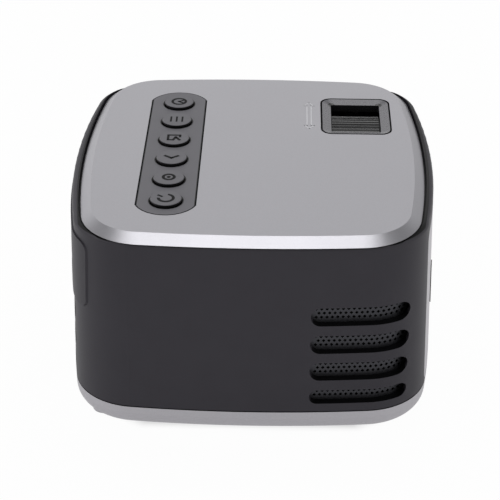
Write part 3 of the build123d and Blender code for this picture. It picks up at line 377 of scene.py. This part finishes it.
# The top cover's upright edges are coloured near black as painted shade.
top_paint = silver_paint("silver_paint_top", "aaa9ae", 0.30, shade_colour="19191b")
# The base's upward lip under the seam is coloured near black as painted shade.
base_paint = silver_paint("silver_paint_base", "b9b7bc", 0.38, seam_shade_colour="060607")
fascia_paint = silver_paint("silver_paint_fascia", "b9b7bc", 0.38)
wear(nodes["top_cover"], top_paint)
wear(nodes["bottom_cover"], base_paint)
wear(nodes["front_fascia"], fascia_paint)


# ---- Receiver window ----
# A small bar of dark red acrylic, pressed into the fascia and polished. Infrared passes through it, and
# the eye sees black gloss.
smoked_acrylic = empty_material("smoked_acrylic")
place = add(smoked_acrylic, "TexCoord")
ripple = add(smoked_acrylic, "TexNoise", {"Vector": place.outputs["Object"], "Scale": 1 / (3.0 * MM)})
depth = add(
    smoked_acrylic, "Mix",
    {"Factor": ripple.outputs["Fac"], 6: linear("1c0a0d"), 7: linear("26090e")},
    data_type="RGBA",
)
polished = add(
    smoked_acrylic, "Bump", {"Height": ripple.outputs["Fac"], "Strength": 0.1, "Distance": 0.01 * MM}
)
acrylic = add(
    smoked_acrylic, "BsdfPrincipled",
    {
        "Base Color": depth.outputs[2], "Roughness": 0.07, "IOR": 1.49,
        "Normal": polished.outputs["Normal"],
    },
)
add(smoked_acrylic, "OutputMaterial", {"Surface": acrylic.outputs[0]})
wear(nodes["ir_window"], smoked_acrylic)


# ---- Feet ----
# Four silicone rubber discs, glued in shallow seats in the base. They are matt and nearly black, with a
# slight bloom of dust.
foot_rubber = empty_material("silicone_rubber")
place = add(foot_rubber, "TexCoord")
bloom = add(
    foot_rubber, "TexNoise", {"Vector": place.outputs["Object"], "Scale": 1 / (1.6 * MM), "Detail": 4.0}
)
pores = add(foot_rubber, "TexNoise", {"Vector": place.outputs["Object"], "Scale": 1 / (0.25 * MM)})
tint = add(
    foot_rubber, "Mix",
    {"Factor": bloom.outputs["Fac"], 6: linear("161616"), 7: linear("262625")},
    data_type="RGBA",
)
rough = add(foot_rubber, "MapRange", {"Value": bloom.outputs["Fac"], "To Min": 0.75, "To Max": 0.95})
skin = add(foot_rubber, "Bump", {"Height": pores.outputs["Fac"], "Strength": 0.4, "Distance": 0.02 * MM})
rubber = add(
    foot_rubber, "BsdfPrincipled",
    {
        "Base Color": tint.outputs[2], "Roughness": rough.outputs["Result"], "IOR": 1.41,
        "Normal": skin.outputs["Normal"],
    },
)
add(foot_rubber, "OutputMaterial", {"Surface": rubber.outputs[0]})
wear(nodes["rubber_feet"], foot_rubber)


# ---- Screws and pins ----
# Cross-head self-tapping screws in black zinc, and two ground steel pins that guide the lens barrel.
# Plating follows the cold-headed steel, so it glints unevenly; a ground pin is bright with fine lines.
def plated_steel(name, colour, roughness, patch_mm=0.8):
    """Plated steel: metal with a mottled tone and faint drawing marks."""
    steel = empty_material(name)
    place = add(steel, "TexCoord")
    mottle = add(
        steel, "TexNoise",
        {"Vector": place.outputs["Object"], "Scale": 1 / (patch_mm * MM), "Detail": 3.0},
    )
    dull = [c * 0.8 for c in linear(colour)[:3]] + [1]
    tone = add(
        steel, "Mix", {"Factor": mottle.outputs["Fac"], 6: dull, 7: linear(colour)}, data_type="RGBA"
    )
    sheen = add(
        steel, "MapRange",
        {"Value": mottle.outputs["Fac"], "To Min": roughness - 0.08, "To Max": roughness + 0.1},
    )
    marks = add(
        steel, "Bump", {"Height": mottle.outputs["Fac"], "Strength": 0.15, "Distance": 0.01 * MM}
    )
    metal = add(
        steel, "BsdfPrincipled",
        {
            "Base Color": tone.outputs[2], "Metallic": 1.0, "Roughness": sheen.outputs["Result"],
            "Normal": marks.outputs["Normal"],
        },
    )
    add(steel, "OutputMaterial", {"Surface": metal.outputs[0]})
    return steel


black_zinc = plated_steel("black_zinc_steel", "4a4a4d", 0.38)
ground_steel = plated_steel("ground_steel", "b8b8ba", 0.2, patch_mm=0.3)
for screws in ("base_screws", "board_screws", "key_board_screws", "engine_screws"):
    wear(nodes[screws], black_zinc)
wear(nodes["guide_pins"], ground_steel)


# ---- Tripod nut ----
# A turned brass insert pressed into the base, with the thread for a tripod's screw. The tool leaves fine
# rings round its face.
# Blender's wave texture repeats every pi / 10 at a scale of 1.
wave_period = math.pi / 10
turned_brass = empty_material("turned_brass")
nut_low, nut_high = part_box("tripod_nut")
place = add(turned_brass, "TexCoord")
centred = add(
    turned_brass, "Mapping",
    {"Vector": place.outputs["Object"], "Location": -(nut_low + nut_high) / 2},
)
rings = add(
    turned_brass, "TexWave",
    {"Vector": centred.outputs[0], "Scale": wave_period / (0.25 * MM), "Distortion": 0.4},
    wave_type="RINGS", rings_direction="Z",
)
alloy = add(
    turned_brass, "Mix",
    {"Factor": rings.outputs["Fac"], 6: linear("b38b42"), 7: linear("d9b36a")},
    data_type="RGBA",
)
cut = add(turned_brass, "Bump", {"Height": rings.outputs["Fac"], "Strength": 0.3, "Distance": 0.01 * MM})
brass = add(
    turned_brass, "BsdfPrincipled",
    {"Base Color": alloy.outputs[2], "Metallic": 1.0, "Roughness": 0.24, "Normal": cut.outputs["Normal"]},
)
add(turned_brass, "OutputMaterial", {"Surface": brass.outputs[0]})
wear(nodes["tripod_nut"], turned_brass)


# ---- Key strip and keys ----
# The strip and the six keys are moulded ABS sprayed a satin mid grey on top. Each key's side is coloured near
# black, painted shade for the gap beside the key, and is smooth enough to catch a small light. The strip is
# also coloured near black in a line down both sides and in a ring round each key's hole, painted shade there.
strip_grey = "6a696e"
key_names = ["power", "ok", "next", "source", "menu", "back"]
key_middles = [sum(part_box("button_" + key), Vector()) / 2 for key in key_names]
key_pitch = (key_middles[-1].y - key_middles[0].y) / (len(key_names) - 1)
half_row = key_pitch * len(key_names) / 2
hole_radius_mm = 5.55
shade_ring_mm = 0.3
shade_line_mm = 0.35


def strip_shade_masks(material, place):
    """1 in a line down both sides of the strip, in a ring round each key's hole and on upright faces: painted
    shade.
    """
    low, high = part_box("button_panel")
    shifted = add(
        material, "Mapping",
        {
            "Vector": place.outputs["Object"],
            "Location": (-key_middles[0].x, key_pitch / 2 - key_middles[0].y, 0),
        },
    )
    at = add(material, "SeparateXYZ", {0: shifted.outputs[0]})
    across = add(material, "Math", {0: at.outputs["X"]}, operation="ABSOLUTE")
    side_line = add(
        material, "Math",
        {0: across.outputs[0], 1: (high.x - low.x) / 2 - shade_line_mm * MM},
        operation="GREATER_THAN",
    )
    step = add(material, "Math", {0: at.outputs["Y"], 1: key_pitch, 2: 0.0}, operation="WRAP")
    along = add(material, "Math", {0: step.outputs[0], 1: key_pitch / 2}, operation="SUBTRACT")
    square = add(material, "Math", {0: across.outputs[0], 1: across.outputs[0]}, operation="MULTIPLY")
    reach = add(
        material, "Math", {0: along.outputs[0], 1: along.outputs[0], 2: square.outputs[0]},
        operation="MULTIPLY_ADD",
    )
    near_hole = add(
        material, "Math", {0: reach.outputs[0], 1: ((hole_radius_mm + shade_ring_mm) * MM) ** 2},
        operation="LESS_THAN",
    )
    among_keys = add(
        material, "Math", {0: at.outputs["Y"], 1: half_row, 2: half_row}, operation="COMPARE"
    )
    ring = add(
        material, "Math", {0: near_hole.outputs[0], 1: among_keys.outputs[0]}, operation="MULTIPLY"
    )
    edges = add(material, "Math", {0: side_line.outputs[0], 1: ring.outputs[0]}, operation="MAXIMUM")
    upright = shaded_upright_faces(material, place)
    return add(material, "Math", {0: edges.outputs[0], 1: upright}, operation="MAXIMUM").outputs[0]


# Painted shade: the strip is near black in its side lines, round each key's hole and on upright faces.
strip_abs = moulded_plastic(
    "satin_grey_abs", strip_grey, 0.5, grain_mm=0.3, depth_mm=0.008, tone=0.04,
    shade_colour="101011", shade_mask=strip_shade_masks,
)
wear(nodes["button_panel"], strip_abs)

key_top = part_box("button_power")[1].z
painted_edge_mm = 0.12
key_abs = empty_material("painted_key_abs")
place = add(key_abs, "TexCoord")
level = add(key_abs, "SeparateXYZ", {0: place.outputs["Object"]})
painted = add(
    key_abs, "Math", {0: level.outputs["Z"], 1: key_top - painted_edge_mm * MM}, operation="GREATER_THAN"
)
grain = add(key_abs, "TexNoise", {"Vector": place.outputs["Object"], "Scale": 1 / (0.3 * MM)})
# Painted shade: below its top, each key's side is near black, for the dark gap beside the key.
coat_and_side_shade = add(
    key_abs, "Mix",
    {"Factor": painted.outputs[0], 6: linear("050506"), 7: linear(strip_grey)},
    data_type="RGBA",
)
satin = add(
    key_abs, "MapRange", {"Value": painted.outputs[0], "To Min": 0.22, "To Max": 0.5}
)
skin = add(key_abs, "Bump", {"Height": grain.outputs["Fac"], "Strength": 0.3, "Distance": 0.008 * MM})
key_surface = add(
    key_abs, "BsdfPrincipled",
    {
        "Base Color": coat_and_side_shade.outputs[2], "Roughness": satin.outputs["Result"], "IOR": 1.53,
        "Specular IOR Level": 0.3, "Normal": skin.outputs["Normal"],
    },
)
add(key_abs, "OutputMaterial", {"Surface": key_surface.outputs[0]})
for key in key_names:
    wear(nodes["button_" + key], key_abs)


# ---- Marks on the keys ----
# Each key has a plain symbol, pad-printed in near-black ink 0.03 mm thick: standby, select, down, source,
# menu and back. The strokes are 0.65 to 1 mm wide and end square.
ink_thickness = 0.03
pad_ink = empty_material("pad_printed_ink")
place = add(pad_ink, "TexCoord")
spread = add(pad_ink, "TexNoise", {"Vector": place.outputs["Object"], "Scale": 1 / (0.5 * MM)})
ink_tone = add(
    pad_ink, "Mix",
    {"Factor": spread.outputs["Fac"], 6: linear("060607"), 7: linear("101012")},
    data_type="RGBA",
)
ink_surface = add(
    pad_ink, "BsdfPrincipled",
    {"Base Color": ink_tone.outputs[2], "Roughness": 0.6, "Specular IOR Level": 0.15},
)
add(pad_ink, "OutputMaterial", {"Surface": ink_surface.outputs[0]})


def bar(print_mesh, start, end, stroke):
    """A straight printed stroke between two points, in millimetres from the mark's middle."""
    run = Vector(end) - Vector(start)
    middle = (Vector(start) + Vector(end)) / 2
    place = Matrix.Translation((middle.x, middle.y, 0)) @ Matrix.Rotation(math.atan2(run.y, run.x), 4, "Z")
    size = Matrix.Diagonal((run.length + stroke, stroke, ink_thickness, 1))
    bmesh.ops.create_cube(print_mesh, size=1, matrix=place @ size)


arc_step_degrees = 12


def arc(print_mesh, middle, radius, first, last, stroke):
    """A round printed stroke about a point, between two angles in degrees."""
    centre = Vector((middle[0], middle[1], 0))
    turned = Matrix.Translation(centre) @ Matrix.Rotation(math.radians(first), 4, "Z")
    upright = turned @ Matrix.Translation((radius, 0, 0)) @ Matrix.Rotation(math.radians(90), 4, "X")
    size = Matrix.Diagonal((stroke, ink_thickness, 1, 1))
    end = bmesh.ops.create_grid(print_mesh, x_segments=1, y_segments=1, size=0.5, matrix=upright @ size)
    face = end["verts"][0].link_faces[0]
    section = [*face.verts, *face.edges]
    full_ring = last - first >= 360
    if full_ring:
        # Spun with its face, a ring that closes would hold a copy of the face at each step.
        bmesh.ops.delete(print_mesh, geom=[face], context="FACES_ONLY")
    else:
        section.append(face)
    bmesh.ops.spin(
        print_mesh, geom=section, cent=centre, axis=(0, 0, 1), angle=math.radians(last - first),
        steps=max(6, int((last - first) / arc_step_degrees)), use_merge=full_ring,
    )


def dot(print_mesh, radius):
    """A round printed dot in the mark's middle."""
    bmesh.ops.create_cone(
        print_mesh, cap_ends=True, segments=360 // arc_step_degrees, radius1=radius, radius2=radius,
        depth=ink_thickness,
    )


# Spin leaves its faces in an order that changes from run to run, so each mark is sorted along this line.
sorting_line = Vector((1, 0.618, 0.1))


def printed_mark(name, print_mesh, middle, height, ink, body):
    """Lay a mark's strokes on a surface and make it a piece that moves with a body."""
    bmesh.ops.transform(
        print_mesh,
        matrix=Matrix.Translation((middle.x, middle.y, height)) @ Matrix.Scale(MM, 4),
        verts=print_mesh.verts,
    )
    bmesh.ops.recalc_face_normals(print_mesh, faces=print_mesh.faces)
    print_mesh.verts.sort(key=lambda vertex: vertex.co.dot(sorting_line))
    print_mesh.faces.sort(key=lambda face: face.calc_center_median().dot(sorting_line))
    mesh = bpy.data.meshes.new(name)
    print_mesh.to_mesh(mesh)
    print_mesh.free()
    mark = bpy.data.objects.new(name, mesh)
    bpy.context.scene.collection.objects.link(mark)
    wear(mark, ink)
    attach(mark, body)


def standby_mark(ink):
    """An open ring and a short bar in its gap."""
    arc(ink, (0, 0), 2.45, 178, 438, 1.0)
    bar(ink, (-1.45, 1.05), (-2.45, 1.75), 0.85)


def select_mark(ink):
    """A dot in a ring."""
    arc(ink, (0, 0), 1.85, 0, 360, 1.0)
    dot(ink, 0.7)


def down_mark(ink):
    """An open arrowhead that points to the near side."""
    bar(ink, (-2.1, 0.75), (0, -0.85), 1.0)
    bar(ink, (0, -0.85), (2.1, 0.75), 1.0)


def source_mark(ink):
    """A frame with its near right corner left open, and an arrowhead that goes in there."""
    bar(ink, (-2.1, 1.9), (2.0, 1.9), 0.85)
    bar(ink, (-2.1, 1.9), (-2.1, -1.7), 0.85)
    bar(ink, (-2.1, -1.7), (-0.9, -1.7), 0.85)
    bar(ink, (2.0, 1.9), (2.0, 0.7), 0.85)
    bar(ink, (0.55, 0.35), (-0.35, -1.75), 0.95)
    bar(ink, (0.55, 0.35), (1.9, -1.65), 0.95)


def menu_mark(ink):
    """Three bars side by side."""
    for x in (-2.0, 0.0, 2.0):
        bar(ink, (x, -1.75), (x, 1.75), 0.65)


def back_mark(ink):
    """A ring with a small arrow in it that points left."""
    arc(ink, (0, 0), 2.4, 0, 360, 0.95)
    bar(ink, (-0.1, -0.1), (1.2, 0.7), 0.75)
    bar(ink, (-0.1, -0.1), (1.2, -0.9), 0.75)


mark_makers = {
    "power": standby_mark, "ok": select_mark, "next": down_mark,
    "source": source_mark, "menu": menu_mark, "back": back_mark,
}
for key, draw in mark_makers.items():
    low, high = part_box("button_" + key)
    strokes = bmesh.new()
    draw(strokes)
    middle = (low + high) / 2
    printed_mark("mark_" + key, strokes, middle, high.z + ink_thickness * MM / 2, pad_ink,
                 "button_" + key)


# ---- Mark beside the focus window ----
# The outline of a double arrow shows which way the wheel turns. It is printed on the cover in pale grey
# ink, as thick as the ink on the keys.
pale_ink = empty_material("pale_grey_ink")
place = add(pale_ink, "TexCoord")
spread = add(pale_ink, "TexNoise", {"Vector": place.outputs["Object"], "Scale": 1 / (0.5 * MM)})
ink_tone = add(
    pale_ink, "Mix",
    {"Factor": spread.outputs["Fac"], 6: linear("c6c6ca"), 7: linear("d2d2d6")},
    data_type="RGBA",
)
ink_surface = add(pale_ink, "BsdfPrincipled", {"Base Color": ink_tone.outputs[2], "Roughness": 0.45})
add(pale_ink, "OutputMaterial", {"Surface": ink_surface.outputs[0]})
cover_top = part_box("top_cover")[1].z
arrow_middle = Vector((19.1, 30.6, 0)) * MM
arrow_half_mm = 10.6
shaft_half_mm = 8.0
shaft_side_mm = 0.75
head_side_mm = 1.7
arrow_line_mm = 0.4
strokes = bmesh.new()
for side in (-1, 1):
    shaft = side * shaft_side_mm
    barb = side * head_side_mm
    bar(strokes, (shaft, -shaft_half_mm), (shaft, shaft_half_mm), arrow_line_mm)
    for end in (-1, 1):
        bar(strokes, (shaft, end * shaft_half_mm), (barb, end * shaft_half_mm), arrow_line_mm)
        bar(strokes, (0, end * arrow_half_mm), (barb, end * shaft_half_mm), arrow_line_mm)
printed_mark("mark_focus", strokes, arrow_middle, cover_top + ink_thickness * MM / 2, pale_ink,
             "casing")


# ---- Painted shadow lines ----
# Thin near-black lines lie on the cover round the window frame, and down both sides and across the near end
# of the strip, as painted shadow for the gaps there. Their matt material throws back almost no light, so each
# is black.
painted_shadow_line = empty_material("painted_shadow_line")
place = add(painted_shadow_line, "TexCoord")
cells = add(painted_shadow_line, "TexNoise", {"Vector": place.outputs["Object"], "Scale": 1 / (0.2 * MM)})
shadow_line_tone = add(
    painted_shadow_line, "Mix",
    {"Factor": cells.outputs["Fac"], 6: linear("0b0b0c"), 7: linear("1d1d1f")},
    data_type="RGBA",
)
shadow_line_surface = add(
    painted_shadow_line, "BsdfPrincipled",
    {"Base Color": shadow_line_tone.outputs[2], "Roughness": 0.95, "Specular IOR Level": 0.0},
)
add(painted_shadow_line, "OutputMaterial", {"Surface": shadow_line_surface.outputs[0]})

line_mm = 0.42
left_line_mm = 0.6
frame_low, frame_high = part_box("focus_window_frame")
half_width_mm = 24.35 / 2
half_depth_mm = 28.55 / 2
corner_mm = 4.0
strokes = bmesh.new()
for side, wide_mm in ((-1, left_line_mm), (1, line_mm)):
    bar(strokes, (side * half_width_mm, corner_mm - half_depth_mm),
        (side * half_width_mm, half_depth_mm - corner_mm), wide_mm)
    bar(strokes, (corner_mm - half_width_mm, side * half_depth_mm),
        (half_width_mm - corner_mm, side * half_depth_mm), line_mm)
for x, y, first in ((1, 1, 0), (-1, 1, 90), (-1, -1, 180), (1, -1, 270)):
    corner = (x * (half_width_mm - corner_mm), y * (half_depth_mm - corner_mm))
    arc(strokes, corner, corner_mm, first, first + 90, line_mm)
# Painted shadow round the window frame.
printed_mark("window_shadow_line", strokes, (frame_low + frame_high) / 2, cover_top, painted_shadow_line,
             "casing")

side_mm = 9.83
side_near_mm = -37.5
side_far_mm = 41.7
end_radius_mm = 10.55
end_angle = 68.6
near_middle_mm = -33.67
strokes = bmesh.new()
for side in (-1, 1):
    bar(strokes, (side * side_mm, side_near_mm), (side * side_mm, side_far_mm), line_mm)
arc(strokes, (0, near_middle_mm), end_radius_mm, 270 - end_angle, 270 + end_angle, line_mm)
# Painted shadow down the strip's sides and across its near end.
printed_mark("strip_shadow_line", strokes, Vector((key_middles[0].x, 0, 0)), cover_top, painted_shadow_line,
             "casing")


# ---- Focus window and wheel ----
# The window frame is sprayed like the strip, with more gloss, and shade is painted near black on its upright
# faces and at the opening's two far corners. The wheel under it is black acetal with sharp ribs across its
# rim. It turns the lens barrel in and out, and a thin ring holds it on its sleeve.
window_opening_mm = (17.0, 21.2)
shaded_corner_mm = 1.3


def window_shade_masks(material, place):
    """1 on upright faces and at the opening's two far corners, where shade is painted, else 0."""
    from_middle = add(
        material, "VectorMath",
        {0: place.outputs["Object"], 1: (frame_low + frame_high) / 2}, operation="SUBTRACT",
    )
    at = add(material, "SeparateXYZ", {0: from_middle.outputs[0]})
    across = add(material, "Math", {0: at.outputs["X"]}, operation="ABSOLUTE")
    folded = add(material, "CombineXYZ", {"X": across.outputs[0], "Y": at.outputs["Y"]})
    corner = (window_opening_mm[0] / 2 * MM, window_opening_mm[1] / 2 * MM, 0)
    reach = add(material, "VectorMath", {0: folded.outputs[0], 1: corner}, operation="DISTANCE")
    shaded = add(
        material, "Math", {0: reach.outputs["Value"], 1: shaded_corner_mm * MM}, operation="LESS_THAN"
    )
    upright = shaded_upright_faces(material, place)
    return add(material, "Math", {0: shaded.outputs[0], 1: upright}, operation="MAXIMUM").outputs[0]


# Painted shade: near black on the frame's upright faces and at the opening's far corners.
frame_abs = moulded_plastic(
    "grey_window_abs", "626166", 0.28, grain_mm=0.3, depth_mm=0.003, gloss=0.6, tone=0.04,
    shade_colour="0c0c0d", shade_mask=window_shade_masks,
)
wheel_acetal = moulded_plastic(
    "black_acetal", "242425", 0.27, grain_mm=0.6, depth_mm=0.003, gloss=0.7, tone=0.06
)
wear(nodes["focus_window_frame"], frame_abs)
wear(nodes["focus_wheel"], wheel_acetal)
wear(nodes["wheel_ring"], wheel_acetal)


# ---- Lens ----
# The sleeve, barrel and bezel are glass-filled nylon, matt black so that they throw no stray light. The
# three lenses are crown glass with a violet antireflection coating; the condenser has none.
lens_nylon = moulded_plastic(
    "glass_filled_nylon", "151516", 0.62, grain_mm=0.5, depth_mm=0.02, gloss=0.25, tone=0.1
)
for holder in ("lens_sleeve", "lens_barrel", "lens_bezel"):
    wear(nodes[holder], lens_nylon)


def optical_glass(name, tint, coating):
    """Polished glass, faintly uneven in tint, with the colour that its coating gives a reflection."""
    glass = empty_material(name)
    place = add(glass, "TexCoord")
    melt = add(glass, "TexNoise", {"Vector": place.outputs["Object"], "Scale": 1 / (12.0 * MM)})
    body = add(
        glass, "Mix", {"Factor": melt.outputs["Fac"], 6: linear(tint), 7: linear("f6faf9")},
        data_type="RGBA",
    )
    polished = add(
        glass, "BsdfPrincipled",
        {
            "Base Color": body.outputs[2], "Transmission Weight": 1.0, "Roughness": 0.02, "IOR": 1.52,
            "Specular Tint": linear(coating),
        },
    )
    add(glass, "OutputMaterial", {"Surface": polished.outputs[0]})
    return glass


coated_glass = optical_glass("coated_crown_glass", "e6efee", "6557b4")
plain_glass = optical_glass("pressed_crown_glass", "e3ece6", "ffffff")
for element in ("front_lens", "middle_lens", "rear_lens"):
    wear(nodes[element], coated_glass)
wear(nodes["condenser_lens"], plain_glass)


# ---- Light engine ----
# The housing and its lid are black polycarbonate. In it stand two acrylic lenses with ring grooves and
# the picture panel, a dark glass with a grid of cells too fine to see, drawn here at 0.4 mm.
engine_plastic = moulded_plastic(
    "black_polycarbonate", "18181a", 0.55, grain_mm=0.6, depth_mm=0.02, tone=0.1
)
wear(nodes["engine_housing"], engine_plastic)
wear(nodes["engine_lid"], engine_plastic)

grooved_acrylic = empty_material("grooved_acrylic")
groove_low, groove_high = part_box("rear_fresnel")
place = add(grooved_acrylic, "TexCoord")
centred = add(
    grooved_acrylic, "Mapping",
    {"Vector": place.outputs["Object"], "Location": -(groove_low + groove_high) / 2},
)
rings = add(
    grooved_acrylic, "TexWave",
    {"Vector": centred.outputs[0], "Scale": wave_period / (0.6 * MM)},
    wave_type="RINGS", rings_direction="X", wave_profile="SAW",
)
cut = add(
    grooved_acrylic, "Bump", {"Height": rings.outputs["Fac"], "Strength": 0.8, "Distance": 0.15 * MM}
)
clear = add(
    grooved_acrylic, "BsdfPrincipled",
    {
        "Base Color": linear("f2f5f4"), "Transmission Weight": 0.9, "Roughness": 0.06, "IOR": 1.49,
        "Normal": cut.outputs["Normal"],
    },
)
add(grooved_acrylic, "OutputMaterial", {"Surface": clear.outputs[0]})
wear(nodes["rear_fresnel"], grooved_acrylic)
wear(nodes["front_fresnel"], grooved_acrylic)

cell_glass = empty_material("picture_panel_glass")
place = add(cell_glass, "TexCoord")
turned = add(
    cell_glass, "Mapping", {"Vector": place.outputs["Object"], "Rotation": (0, math.radians(90), 0)}
)
cells = add(
    cell_glass, "TexBrick",
    {
        "Vector": turned.outputs[0], "Color1": linear("23232b"), "Color2": linear("262630"),
        "Mortar": linear("0c0c0f"), "Scale": 1.0, "Mortar Size": 0.05 * MM,
        "Brick Width": 0.4 * MM, "Row Height": 0.4 * MM,
    },
    offset=0.0,
)
cell_surface = add(
    cell_glass, "BsdfPrincipled", {"Base Color": cells.outputs["Color"], "Roughness": 0.12, "IOR": 1.52}
)
add(cell_glass, "OutputMaterial", {"Surface": cell_surface.outputs[0]})
wear(nodes["picture_panel"], cell_glass)

# The lamp is a square of blue dies under yellow phosphor, with a clear silicone dome over it.
phosphor = empty_material("phosphor_under_silicone")
place = add(phosphor, "TexCoord")
dies = add(
    phosphor, "TexVoronoi", {"Vector": place.outputs["Object"], "Scale": 1 / (1.2 * MM), "Randomness": 0.0}
)
glow_tone = add(
    phosphor, "Mix",
    {"Factor": dies.outputs["Distance"], 6: linear("f2d64a"), 7: linear("d8a92c")},
    data_type="RGBA",
)
dome = add(
    phosphor, "BsdfPrincipled",
    {"Base Color": glow_tone.outputs[2], "Roughness": 0.5, "Coat Weight": 1.0, "Coat Roughness": 0.05},
)
add(phosphor, "OutputMaterial", {"Surface": dome.outputs[0]})
wear(nodes["led_emitter"], phosphor)


# ---- Cooling ----
# The heat sink is extruded aluminium, left bare, with the die's lines along its fins. The fan is moulded
# in black polyester with a slight gloss on its blades.
bare_aluminium = empty_material("extruded_aluminium")
place = add(bare_aluminium, "TexCoord")
drawn = add(
    bare_aluminium, "Mapping", {"Vector": place.outputs["Object"], "Scale": (1, 1, 0.04)}
)
lines = add(
    bare_aluminium, "TexNoise", {"Vector": drawn.outputs[0], "Scale": 1 / (0.4 * MM), "Detail": 3.0}
)
metal_tone = add(
    bare_aluminium, "Mix",
    {"Factor": lines.outputs["Fac"], 6: linear("b4b5b7"), 7: linear("d6d7d9")},
    data_type="RGBA",
)
scored = add(
    bare_aluminium, "Bump", {"Height": lines.outputs["Fac"], "Strength": 0.3, "Distance": 0.02 * MM}
)
aluminium = add(
    bare_aluminium, "BsdfPrincipled",
    {
        "Base Color": metal_tone.outputs[2], "Metallic": 1.0, "Roughness": 0.36,
        "Normal": scored.outputs["Normal"],
    },
)
add(bare_aluminium, "OutputMaterial", {"Surface": aluminium.outputs[0]})
wear(nodes["heat_sink"], bare_aluminium)
fan_polyester = moulded_plastic("black_polyester", "161617", 0.38, grain_mm=0.5, depth_mm=0.01, gloss=0.45)
wear(nodes["fan_frame"], fan_polyester)
wear(nodes["fan_impeller"], fan_polyester)


# ---- Circuit boards ----
# Glass-epoxy boards under green solder mask, with the copper tracks showing as paler lines. Chips and
# card slot stand on the main board, the six switches on the key board; the lamp's board is aluminium-cored.
def masked_board(name, mask, track, across):
    """Solder mask over copper: straight tracks 0.5 mm wide at 1.6 mm, with gaps and via dots."""
    board = empty_material(name)
    place = add(board, "TexCoord")
    tracks = add(
        board, "TexBrick",
        {
            "Vector": place.outputs["Object"], "Color1": linear(mask), "Color2": linear(mask),
            "Mortar": linear(track), "Scale": 1.0, "Mortar Size": 0.22 * MM, "Mortar Smooth": 0.1,
            "Brick Width": across * MM, "Row Height": 1.6 * MM,
        },
        offset=0.37, offset_frequency=3,
    )
    vias = add(board, "TexVoronoi", {"Vector": place.outputs["Object"], "Scale": 1 / (3.1 * MM)})
    via = add(board, "Math", {0: vias.outputs["Distance"], 1: 0.13}, operation="LESS_THAN")
    tone = add(
        board, "Mix",
        {"Factor": via.outputs[0], 6: tracks.outputs["Color"], 7: linear("b9a46a")},
        data_type="RGBA",
    )
    raised = add(
        board, "Bump", {"Height": tracks.outputs["Fac"], "Strength": 0.4, "Distance": 0.04 * MM}
    )
    surface = add(
        board, "BsdfPrincipled",
        {
            "Base Color": tone.outputs[2], "Roughness": 0.32, "IOR": 1.55,
            "Normal": raised.outputs["Normal"],
        },
    )
    add(board, "OutputMaterial", {"Surface": surface.outputs[0]})
    return board


green_mask = masked_board("green_solder_mask", "0f4a26", "1f6a3a", 11.0)
white_mask = masked_board("white_solder_mask", "d9d9d4", "c4c4be", 7.0)
for board_name in ("main_board", "key_board"):
    wear(nodes[board_name], green_mask)
wear(nodes["led_board"], white_mask)
chip_epoxy = moulded_plastic("epoxy_mould_compound", "1b1b1c", 0.7, grain_mm=0.2, depth_mm=0.01, tone=0.05)
wear(nodes["board_chips"], chip_epoxy)

# A switch is a stamped steel cover over a black body; its plunger stands above the cover.
stamped_steel = plated_steel("tinned_steel", "b2b3b4", 0.3)
wear(nodes["key_switches"], stamped_steel)


# ---- Sockets ----
# Drawn and folded shells of nickel-plated steel round black tongues; the jacks for sound and power are
# black nylon.
for shell in ("video_socket", "data_socket", "card_slot"):
    wear(nodes[shell], stamped_steel)
jack_nylon = moulded_plastic("black_nylon", "1a1a1b", 0.5, grain_mm=0.5, depth_mm=0.015, gloss=0.35)
for jack in ("av_jack", "dc_jack"):
    wear(nodes[jack], jack_nylon)


# ---- Speaker ----
# A perforated steel sheet, painted black, lies behind the slots. The speaker behind it has a moulded
# frame, a cone of pressed paper with short fibres, and a nickel-plated magnet pot.
painted_sheet = plated_steel("black_painted_sheet", "4a4a4e", 0.42, patch_mm=0.6)
wear(nodes["speaker_mesh"], painted_sheet)
wear(nodes["speaker_frame"], engine_plastic)
pressed_paper = empty_material("pressed_paper")
place = add(pressed_paper, "TexCoord")
stretched = add(pressed_paper, "Mapping", {"Vector": place.outputs["Object"], "Scale": (1, 1, 0.2)})
fibres = add(
    pressed_paper, "TexNoise", {"Vector": stretched.outputs[0], "Scale": 1 / (0.5 * MM), "Detail": 6.0}
)
pulp = add(
    pressed_paper, "Mix",
    {"Factor": fibres.outputs["Fac"], 6: linear("1d1c1b"), 7: linear("3a3836")},
    data_type="RGBA",
)
felted = add(
    pressed_paper, "Bump", {"Height": fibres.outputs["Fac"], "Strength": 0.6, "Distance": 0.05 * MM}
)
paper = add(
    pressed_paper, "BsdfPrincipled",
    {"Base Color": pulp.outputs[2], "Roughness": 0.9, "Normal": felted.outputs["Normal"]},
)
add(pressed_paper, "OutputMaterial", {"Surface": paper.outputs[0]})
wear(nodes["speaker_cone"], pressed_paper)
wear(nodes["speaker_magnet"], plated_steel("nickel_plate", "a9a7a2", 0.28))
